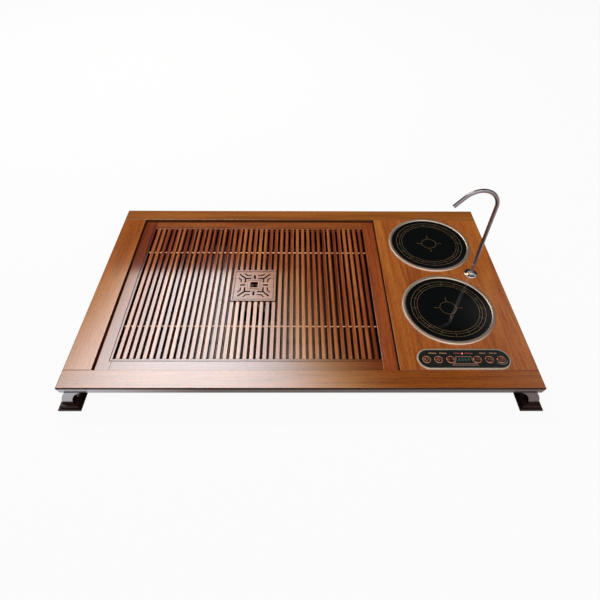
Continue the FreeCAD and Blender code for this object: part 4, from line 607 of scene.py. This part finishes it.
# The material, direction of grain, tones and seed of each member of the tray's frame.
TRAY_FRAME = {"tray_left_stile": ("tray_left_lacquer", "Y", "A24E24 883A18 60260E", 4),
              "tray_right_stile": ("tray_right_lacquer", "Y", "BC622E A24C20 703214", 12),
              "tray_front_rail": ("tray_front_lacquer", "X", "984A1E 7E3915 58250D", 5),
              "tray_back_rail": ("tray_back_lacquer", "X", "BE6C32 A55826 783C18", 13)}
for node, recipe in TRAY_FRAME.items():
    softened(node, wood(*recipe, **TRAY), width=0.3)
slat_wood = wood("slat_lacquer", "Y", "CA7A46 A8522C 702C16", seed=6, **SLAT)
for node in ("long_slats", "short_slats"):
    softened(node, slat_wood, width=1.2)
medallion_wood = wood("medallion_lacquer", "X", "C07446 A25830 6C321A", seed=7, **MEDALLION)
softened("medallion_frame", medallion_wood, width=0.3)
softened("medallion_plate", medallion_wood, width=0.35)
foot_wood = wood("foot_lacquer", "Z", "34201B 241411 160B09", seed=8, coat_ior=2.4, foot=True)
for node in ("foot_front_left", "foot_front_right", "foot_back_left", "foot_back_right"):
    softened(node, foot_wood, width=0.6)


# Metals and hidden parts

steel = metal("polished_steel", "D9D8D4", roughness=0.08, brushed="Z", fine=600)
dress(steel, "spout_nut")
dress(metal("zinc_screw", "B8B6AE", roughness=0.3), "bearer_screws", "foot_screws",
      "case_screws")
# The pan's steel is much darker than bare steel: painted shade for the space under the slats.
dress(metal("pan_steel", "4C413A", roughness=0.22, fine=1500), "pan_walls", "pan_floor")
dress(metal("rod_steel", "E8B088", roughness=0.28), "cross_rods")
dress(metal("sink_aluminium", "BDBDBF", roughness=0.35, brushed="Y"), "heat_sinks")
dress(metal("coil_copper", "B5683A", roughness=0.3, turned_about=HOBS["front"]), "coils")
dress(plastic("case_powder_coat", "26272A", roughness=0.45, texture=1600, depth=0.06),
      "hob_case")
dress(plastic("black_plastic", "17181A", roughness=0.42), "coil_carriers", "fan_frame",
      "fan_rotor", "pump", "cable_gland")
dress(plastic("rubber", "141414", roughness=0.7, texture=1400, depth=0.06), "foot_pads",
      "glass_seals")
dress(plastic("spigot_plastic", "D2D1CB", roughness=0.38), "drain_spigot", "spigot_nut",
      "water_inlet")
dress(plastic("silicone", "D8D7CC", roughness=0.3), "water_hoses")
dress(plastic("ferrite", "2A2B2E", roughness=0.55, texture=1200, depth=0.05), "ferrite_bars")
dress(circuit("circuit_board"), "inverter_boards", "control_board")


# Hot plates

# Profiles are closed loops of (radius, height, rounding) in mm.
RING_PROFILE = [(92, 0, 0), (98, 0, 0), (98, 1.12, 0.5), (96.3, 2.8, 0.8), (91.1, 2.8, 0.8),
                (89.4, 1.4, 0.3), (89.4, -3.0, 0), (86, -3.0, 0), (86, -4.2, 0), (90.4, -4.2, 0),
                (90.4, -14, 0), (92, -14, 0)]
GLASS_PROFILE = [(0, 0, 0), (88.5, 0, 0), (89.1, 0.6, 0), (89.1, 3.4, 0.3), (88.5, 4, 0.3),
                 (0, 4, 0)]
GLASS_BOTTOM = TOP - 2.6 * MM
HOB_STEPS = 192

glass_look = dark_glass("hob_glass_print")
for name, (x, y) in HOBS.items():
    ring_look = metal(f"{name}_trim_metal", "EAD2BC", roughness=0.44, turned_about=(x, y))
    finish_piece(lathe(RING_PROFILE, (x, y, TOP), HOB_STEPS), f"{name}_trim_ring",
                 [f"{name}_hob_ring"], "table", "ring_metal", ring_look)
    finish_piece(lathe(GLASS_PROFILE, (x, y, GLASS_BOTTOM), HOB_STEPS), f"{name}_glass_disc",
                 [f"{name}_glass"], "table", "hob_glass", glass_look)


# Spout

SPOUT_RISE = 183
SPOUT_FOOT = 5  # below the table's top
SPOUT_BEND = 41
SPOUT_TAIL = 27
SPOUT_SWEEP = math.radians(137.5)
SPOUT_HEADING = math.radians(186)
SPOUT_OUTER = 4 * MM
SPOUT_INNER = 3.2 * MM
RISE_STEPS = 12
BEND_STEPS = 36
BASE_PROFILE = [(4.05, 7, 0.2), (6.5, 7, 0.3), (7.5, 6, 0.5), (7.5, 3.5, 0.8), (14, 2, 0.6),
                (15, 1, 0.4), (15, 0, 0), (8.6, 0, 0), (8.6, -24, 0), (4, -24, 0), (4, -30, 0),
                (2.6, -30, 0), (2.6, -5.05, 0), (4.05, -5.05, 0)]
BASE_STEPS = 96


def spout_points():
    """Straight up, round the bend and down the tail, swung to the resting heading."""
    flat = [(0, -SPOUT_FOOT + (SPOUT_RISE + SPOUT_FOOT) * step / RISE_STEPS)
            for step in range(RISE_STEPS)]
    turns = [SPOUT_SWEEP * step / BEND_STEPS for step in range(BEND_STEPS + 1)]
    flat += [(SPOUT_BEND - SPOUT_BEND * math.cos(turn), SPOUT_RISE + SPOUT_BEND * math.sin(turn))
             for turn in turns]
    out, up = flat[-1]
    flat += [(out + SPOUT_TAIL * share * math.sin(SPOUT_SWEEP),
              up + SPOUT_TAIL * share * math.cos(SPOUT_SWEEP)) for share in (0.5, 1)]
    return [Vector((SPOUT[0] + out * math.cos(SPOUT_HEADING) * MM,
                    SPOUT[1] + out * math.sin(SPOUT_HEADING) * MM, TOP + up * MM))
            for out, up in flat]


pipe_steel = metal("pipe_steel", "A29CA0", roughness=0.14, brushed="Z", fine=600)
finish_piece(tube(spout_points(), SPOUT_OUTER, SPOUT_INNER), "spout_pipe", ["spout_tube"],
             "spout", "tube_steel", pipe_steel)
finish_piece(lathe(BASE_PROFILE, (*SPOUT, TOP), BASE_STEPS), "spout_bush", ["spout_base"],
             "table", "spout_steel", steel)


# Control panel

dress(metal("bezel_metal", "F0E2CC", roughness=0.5), "panel_bezel")
dress(plastic("panel_face_black", "1B1E1D", roughness=0.3, texture=900, depth=0.01, coat=0.6),
      "panel_face")
dress(plastic("display_window", "0E1514", roughness=0.12, texture=900, depth=0.005, coat=0.8),
      "display_module")
dress(Look("lamp_red", Base_Color=paint("FF8A7C"), Roughness=0.2,
           Emission_Color=paint("FF9A90"), Emission_Strength=1.2).material, "indicator_lamp")

key_copper = metal("key_copper", "D8957A", roughness=0.34)
key_centre = metal("key_centre", "8A5C4E", roughness=0.26)
glyph_copper = metal("glyph_copper", "FFD0BC", roughness=0.4)
gold_print = metal("gold_print", "F0C89C", roughness=0.5)
red_print = metal("red_print", "D88470", roughness=0.5)
silver_print = metal("silver_print", "F2EAE0", roughness=0.4)
digit_print = plastic("digit_print", "66766F", roughness=0.4, texture=900, depth=0.005)

PRINT_BOTTOM = -0.02
MITRE_LIMIT = 0.4


def arc(x, y, radius, start, end, steps=24):
    """Points on a circle between two angles in degrees."""
    turns = [math.radians(start + (end - start) * step / steps) for step in range(steps + 1)]
    return [(x + radius * math.cos(turn), y + radius * math.sin(turn)) for turn in turns]


def stroke(points, width, closed=False):
    """A line of a print: its points and width in mm, and whether its ends meet."""
    return [Vector(point) for point in points], width, closed


def printed(name, strokes, place, body, slot, look, thickness=0.06):
    """Thin raised print, made of strokes in mm from a place on a surface."""
    shape = bmesh.new()
    for spots, width, closed in strokes:
        count = len(spots)
        rows = []
        for index, spot in enumerate(spots):
            before = spots[index - 1] if closed or index else None
            after = spots[(index + 1) % count] if closed or index < count - 1 else None
            ways = [(second - first).normalized()
                    for first, second in ((before, spot), (spot, after))
                    if first is not None and second is not None]
            sides = [Vector((-way.y, way.x)) for way in ways]
            side = sum(sides, Vector((0, 0))).normalized()
            side *= width / 2 / max(side.dot(sides[0]), MITRE_LIMIT)
            corners = [(spot + side, thickness), (spot - side, thickness),
                       (spot - side, PRINT_BOTTOM), (spot + side, PRINT_BOTTOM)]
            rows.append([shape.verts.new((place[0] + at.x * MM, place[1] + at.y * MM,
                                          place[2] + up * MM)) for at, up in corners])
        for row, following in zip(rows, rows[1:] + (rows[:1] if closed else [])):
            bridge(shape, row, following)
        if not closed:
            shape.faces.new(rows[0])
            shape.faces.new(rows[-1])
    finish_piece(mesh_from(name, shape), name, [], body, slot, look)


def print_on_panel(name, strokes, look):
    printed(name, strokes, (*PANEL, FACE_TOP), "table", "face_plastic", look)


LABEL_Y = 13
LABEL_WIDTH = 2.0
LABEL_TIP = 1.2
LABEL_FALL = 0.6
LABELS = ((-65.2, -50.7), (-45, -30.5), (33.3, 45.4), (52.7, 66.4))
RED_LABELS = ((-17, -4.2), (4.2, 19.6))


def label(start, end):
    """A short bar that falls slightly to the right, where the real panel has a word."""
    return stroke([(start, LABEL_Y), (start + LABEL_TIP, LABEL_Y + LABEL_FALL),
                   (end - LABEL_TIP, LABEL_Y), (end, LABEL_Y - LABEL_FALL)], LABEL_WIDTH)


ROW_Y = -1.5  # the row of keys, from the middle of the panel
FRAME_LINE = [(-14.6, 6.9), (14.6, 6.9), (16.1, -2), (20.3, -9.8), (-20.3, -9.8), (-16.1, -2)]
LOWER_LINE = [(-21.3, -8.6), (-24, -13.2), (24, -13.2), (21.3, -8.6)]
FRAME_WIDTH = 1.5
ARC_RADIUS = 11.2
ARC_WIDTH = 1.1

frame_strokes = [stroke([(x, y + ROW_Y) for x, y in line], FRAME_WIDTH, closed)
                 for line, closed in ((FRAME_LINE, True), (LOWER_LINE, False))]
key_arc = stroke(arc(KEY_X[-1], ROW_Y, ARC_RADIUS, -150, -15), ARC_WIDTH)
print_on_panel("panel_gold_print", [label(*ends) for ends in LABELS], gold_print)
print_on_panel("panel_copper_frame", frame_strokes, glyph_copper)
print_on_panel("panel_silver_arc", [key_arc], silver_print)
print_on_panel("panel_red_print", [label(*ends) for ends in RED_LABELS], red_print)

# Seven-segment digits: the ends of each segment in half widths and quarter heights.
SEGMENTS = (((-1, 2), (1, 2)), ((-1, 0), (1, 0)), ((-1, -2), (1, -2)), ((-1, 2), (-1, 0)),
            ((1, 2), (1, 0)), ((-1, 0), (-1, -2)), ((1, 0), (1, -2)))
DIGIT_X = (-9.3, -3.1, 3.1, 9.3)
DIGIT_HALF_WIDTH = 1.75
DIGIT_QUARTER_HEIGHT = 1.8
DIGIT_SLANT = 0.18
SEGMENT_WIDTH = 0.8
SEGMENT_GAP = 0.45
DISPLAY_TOP = FACE_TOP - 0.3 * MM

digits = []
for middle in DIGIT_X:
    for segment in SEGMENTS:
        start, end = (Vector((middle + x * DIGIT_HALF_WIDTH + y * DIGIT_SLANT,
                              y * DIGIT_QUARTER_HEIGHT)) for x, y in segment)
        gap = (end - start).normalized() * SEGMENT_GAP
        digits.append(stroke([start + gap, end - gap], SEGMENT_WIDTH))
printed("display_digits", digits, (PANEL[0], KEY_Y, DISPLAY_TOP), "table", "display", digit_print)

KEY_RIM = 6.2
KEY_PROFILE = [(0, 0, 0), (2, 0, 0), (2, 4.35, 0), (9.8, 4.35, 0), (9.8, 5.15, 0),
               (8.6, 5.15, 0), (8.6, 9.0, 0.5), (8.0, 9.6, 0.3), (6.6, 9.6, 0.3),
               (KEY_RIM, 9.0, 0.1), (4.8, 9.3, 0), (3.2, 9.5, 0), (1.6, 9.62, 0), (0, 9.65, 0)]
KEY_STEPS = 72
KEY_BOTTOM = 55.1 * MM
KEY_CENTRE_ABOVE = 63.5 * MM
GLYPH_BOTTOM = FACE_TOP + 1.2 * MM
GLYPH_THICKNESS = 0.12

POWER = [stroke(arc(0, 0, 2.9, 125, 415), 1.0), stroke([(0, 0.6), (0, 3.6)], 1.0)]
MINUS = [stroke([(-2.8, 0), (2.8, 0)], 1.3)]
PLUS = MINUS + [stroke([(0, -2.8), (0, -0.7)], 1.3), stroke([(0, 0.7), (0, 2.8)], 1.3)]
DROP = [stroke([(0, 3.4)] + arc(0, -0.9, 2.2, 35, -215, 20), 1.0, closed=True)]
WAVE_Y = (-2.4, -1.6, -0.8, 0, 0.8, 1.6, 2.4)
WAVES = [stroke([(x + 0.5 * math.sin(y * 2), y) for y in WAVE_Y], 0.9) for x in (-1.9, 0, 1.9)]
GLYPHS = (POWER, DROP, MINUS, PLUS, WAVES, POWER)


def build_key(number, x, glyph):
    """A key's cap, with its own look inside the rim, and the symbol on it."""
    mesh = lathe(KEY_PROFILE, (x, KEY_Y, KEY_BOTTOM), KEY_STEPS)
    finish_piece(mesh, f"key_cap_{number}", [f"key_{number}"], f"key_{number}_cap", "key_metal",
                 key_copper, key_centre)
    for face in mesh.polygons:
        spot = face.center
        in_rim = math.hypot(spot.x - x, spot.y - KEY_Y) < KEY_RIM * MM
        if in_rim and spot.z > KEY_CENTRE_ABOVE:
            face.material_index = 1
    printed(f"key_glyph_{number}", glyph, (x, KEY_Y, GLYPH_BOTTOM), f"key_{number}_cap",
            "key_metal", glyph_copper, GLYPH_THICKNESS)


for number, (shift, glyph) in enumerate(zip(KEY_X, GLYPHS), start=1):
    build_key(number, PANEL[0] + shift * MM, glyph)


# Floor, light and camera

FLOOR_HALF = 15
FLOOR_GREY = (0.86, 0.86, 0.86, 1)
GLOW_SHARE = 0.92
LEFT_TO_MIDDLE = (-0.42, -0.15)  # the stretch in X over which the mirrored floor changes
# Painted light in the floor's reflections: a pool of window light at the left of the table, cool
# at the left and warm towards the middle.
LEFT_GLOW, MIDDLE_GLOW = 2.0, 0.65
LEFT_TINT, MIDDLE_TINT = (0.95, 0.92, 1, 1), (1, 0.84, 0.8, 1)
# Painted shadow under the table, in the floor's reflections.
UNDER_HALF_LENGTH, UNDER_HALF_DEPTH = 0.42, 0.25
UNDER_FRINGE = (-0.03, 0.03)
PAINTED_SHADOW_GLOW = 0.05


def build_stage():
    """A pale floor that glows for the camera, so that it is nearly white with a faint shadow.

    In reflections it glows more at the left of the table, a painted pool of window light, and
    hardly under the table, a painted shadow.
    """
    shape = bmesh.new()
    bmesh.ops.create_grid(shape, x_segments=1, y_segments=1, size=FLOOR_HALF)
    mesh = bpy.data.meshes.new("floor")
    shape.to_mesh(mesh)
    shape.free()
    floor = bpy.data.objects.new("floor", mesh)
    bpy.context.scene.collection.objects.link(floor)
    look = Look("floor_paper", Base_Color=FLOOR_GREY, Roughness=0.9)
    spot = look.parts(look.place)

    def past(axis, half):
        return look.math("SUBTRACT", look.math("ABSOLUTE", spot[axis]), half)

    path = look.node("ShaderNodeLightPath").outputs
    camera, gloss = path["Is Camera Ray"], path["Is Glossy Ray"]
    outside = look.math("MAXIMUM", past(0, UNDER_HALF_LENGTH), past(1, UNDER_HALF_DEPTH))
    painted_light_and_shadow = look.times(look.fade(spot[0], *LEFT_TO_MIDDLE, LEFT_GLOW, MIDDLE_GLOW),
                          look.fade(outside, *UNDER_FRINGE, PAINTED_SHADOW_GLOW, 1.0))
    strength = look.math("MAXIMUM", look.times(gloss, painted_light_and_shadow), camera)
    tint = look.mix(look.fade(spot[0], *LEFT_TO_MIDDLE, 1.0, 0.0), MIDDLE_TINT, LEFT_TINT)
    glow = look.node("ShaderNodeEmission", {"Color": look.mix(gloss, WHITE, tint),
                                            "Strength": strength}).outputs[0]
    share = look.times(look.math("MAXIMUM", camera, gloss), GLOW_SHARE)
    mixed = look.node("ShaderNodeMixShader", {0: share, 1: look.shader.outputs[0], 2: glow})
    look.feed(look.tree.nodes["Material Output"].inputs["Surface"], mixed.outputs[0])
    mesh.materials.append(look.material)


DARK_SIDE, BRIGHT_SIDE = 0.02, 0.9
DARK_TO_BRIGHT = (0.05, -0.35)  # the Y of the direction over which the room gets bright


def build_world():
    """White for the camera and through glass; otherwise a room, bright in front, dark behind."""
    world = bpy.data.worlds.new("studio")
    bpy.context.scene.world = world
    world.use_nodes = True
    tree = Tree(world.node_tree)
    path = tree.node("ShaderNodeLightPath").outputs
    seen = tree.math("MAXIMUM", path["Is Camera Ray"], path["Is Transmission Ray"])
    way = tree.parts(tree.node("ShaderNodeTexCoord").outputs["Generated"])
    room = tree.fade(way[1], *DARK_TO_BRIGHT, DARK_SIDE, BRIGHT_SIDE)
    background = world.node_tree.nodes["Background"].inputs
    tree.feed(background["Color"], WHITE)
    tree.feed(background["Strength"], tree.math("MAXIMUM", seen, room))


def area_light(name, place, target, width, height, power):
    light = bpy.data.lights.new(name, "AREA")
    light.shape = "RECTANGLE"
    light.size = width
    light.size_y = height
    light.energy = power
    lamp = bpy.data.objects.new(name, light)
    lamp.location = place
    lamp.rotation_euler = (Vector(target) - Vector(place)).to_track_quat("-Z", "Y").to_euler()
    bpy.context.scene.collection.objects.link(lamp)
    return light


FRINGE_UP_TO = 0.7


def feather(light, left, right, back, fringe):
    """Dims an area light towards its sides and back, and gives its dim sides the fringe's colour.

    A side is given by the shares of the half width at which the light is full and gone, and by
    how much narrower it gets towards the back.
    """
    light.use_nodes = True
    tree = Tree(light.node_tree)
    place = tree.parts(tree.node("ShaderNodeNewGeometry").outputs["Parametric"])
    off_centre = tree.math("SUBTRACT", place[0], 0.5)

    def side_fade(way, full, gone, narrowing):
        stretch = tree.math("MULTIPLY_ADD", place[1], way * narrowing, way)
        return tree.fade(tree.times(off_centre, stretch), gone, full)

    side = tree.times(side_fade(-2.0, *left), side_fade(2.0, *right))
    emission = light.node_tree.nodes["Emission"].inputs
    tree.feed(emission["Color"], tree.mix(tree.fade(side, 0.0, FRINGE_UP_TO), fringe, WHITE))
    tree.feed(emission["Strength"], tree.times(side, tree.fade(place[1], 1.0, 1 - back)))


def build_lights():
    """A wide window box at the back left, a weak box at the back right and a fill in front."""
    window = area_light("window_box", place=(-0.848, 1.525, 2.06), target=(-0.848, 1.525, 0),
                        width=3.4, height=1.35, power=88)
    feather(window, left=(0.07, 1.02, 0.84), right=(0.1, 1.05, 0.82), back=0.08,
            fringe=(1.2, 0.78, 0.3, 1))
    wall = area_light("wall_box", place=(2.3, 1.2, 2.06), target=(2.3, 1.2, 0), width=2.4,
                      height=2.2, power=7)
    feather(wall, left=(0.0, 1.0, 0.0), right=(0.6, 1.0, 0.0), back=0.3, fringe=WHITE)
    area_light("fill_box", place=(0.5, -1.5, 2.4), target=(0.1, 0, 0), width=2.2, height=1.4,
               power=10)


FRAME_PIXELS = 600
FOCAL_PIXELS = 454.9
SENSOR = 36
CAMERA_PLACE = (-8.8 * MM, -715.9 * MM, 781.9 * MM)
CAMERA_ANGLES = (47.22, -0.58, -0.5)


def build_camera():
    """The fitted camera, with its pitch, yaw and roll in degrees."""
    pitch, yaw, roll = (math.radians(angle) for angle in CAMERA_ANGLES)
    right = Vector((math.cos(yaw), math.sin(yaw), 0))
    ahead = Vector((-math.sin(yaw) * math.cos(pitch), math.cos(yaw) * math.cos(pitch),
                    -math.sin(pitch)))
    down = ahead.cross(right)
    across = right * math.cos(roll) + down * math.sin(roll)
    below = down * math.cos(roll) - right * math.sin(roll)
    data = bpy.data.cameras.new("camera")
    data.sensor_width = SENSOR
    data.lens = FOCAL_PIXELS / FRAME_PIXELS * SENSOR
    camera = bpy.data.objects.new("camera", data)
    turn = Matrix((across, -below, -ahead)).transposed().to_4x4()
    camera.matrix_world = Matrix.Translation(CAMERA_PLACE) @ turn
    bpy.context.scene.collection.objects.link(camera)
    bpy.context.scene.camera = camera


build_stage()
build_world()
build_lights()
build_camera()
bpy.context.scene.view_settings.view_transform = "Standard"
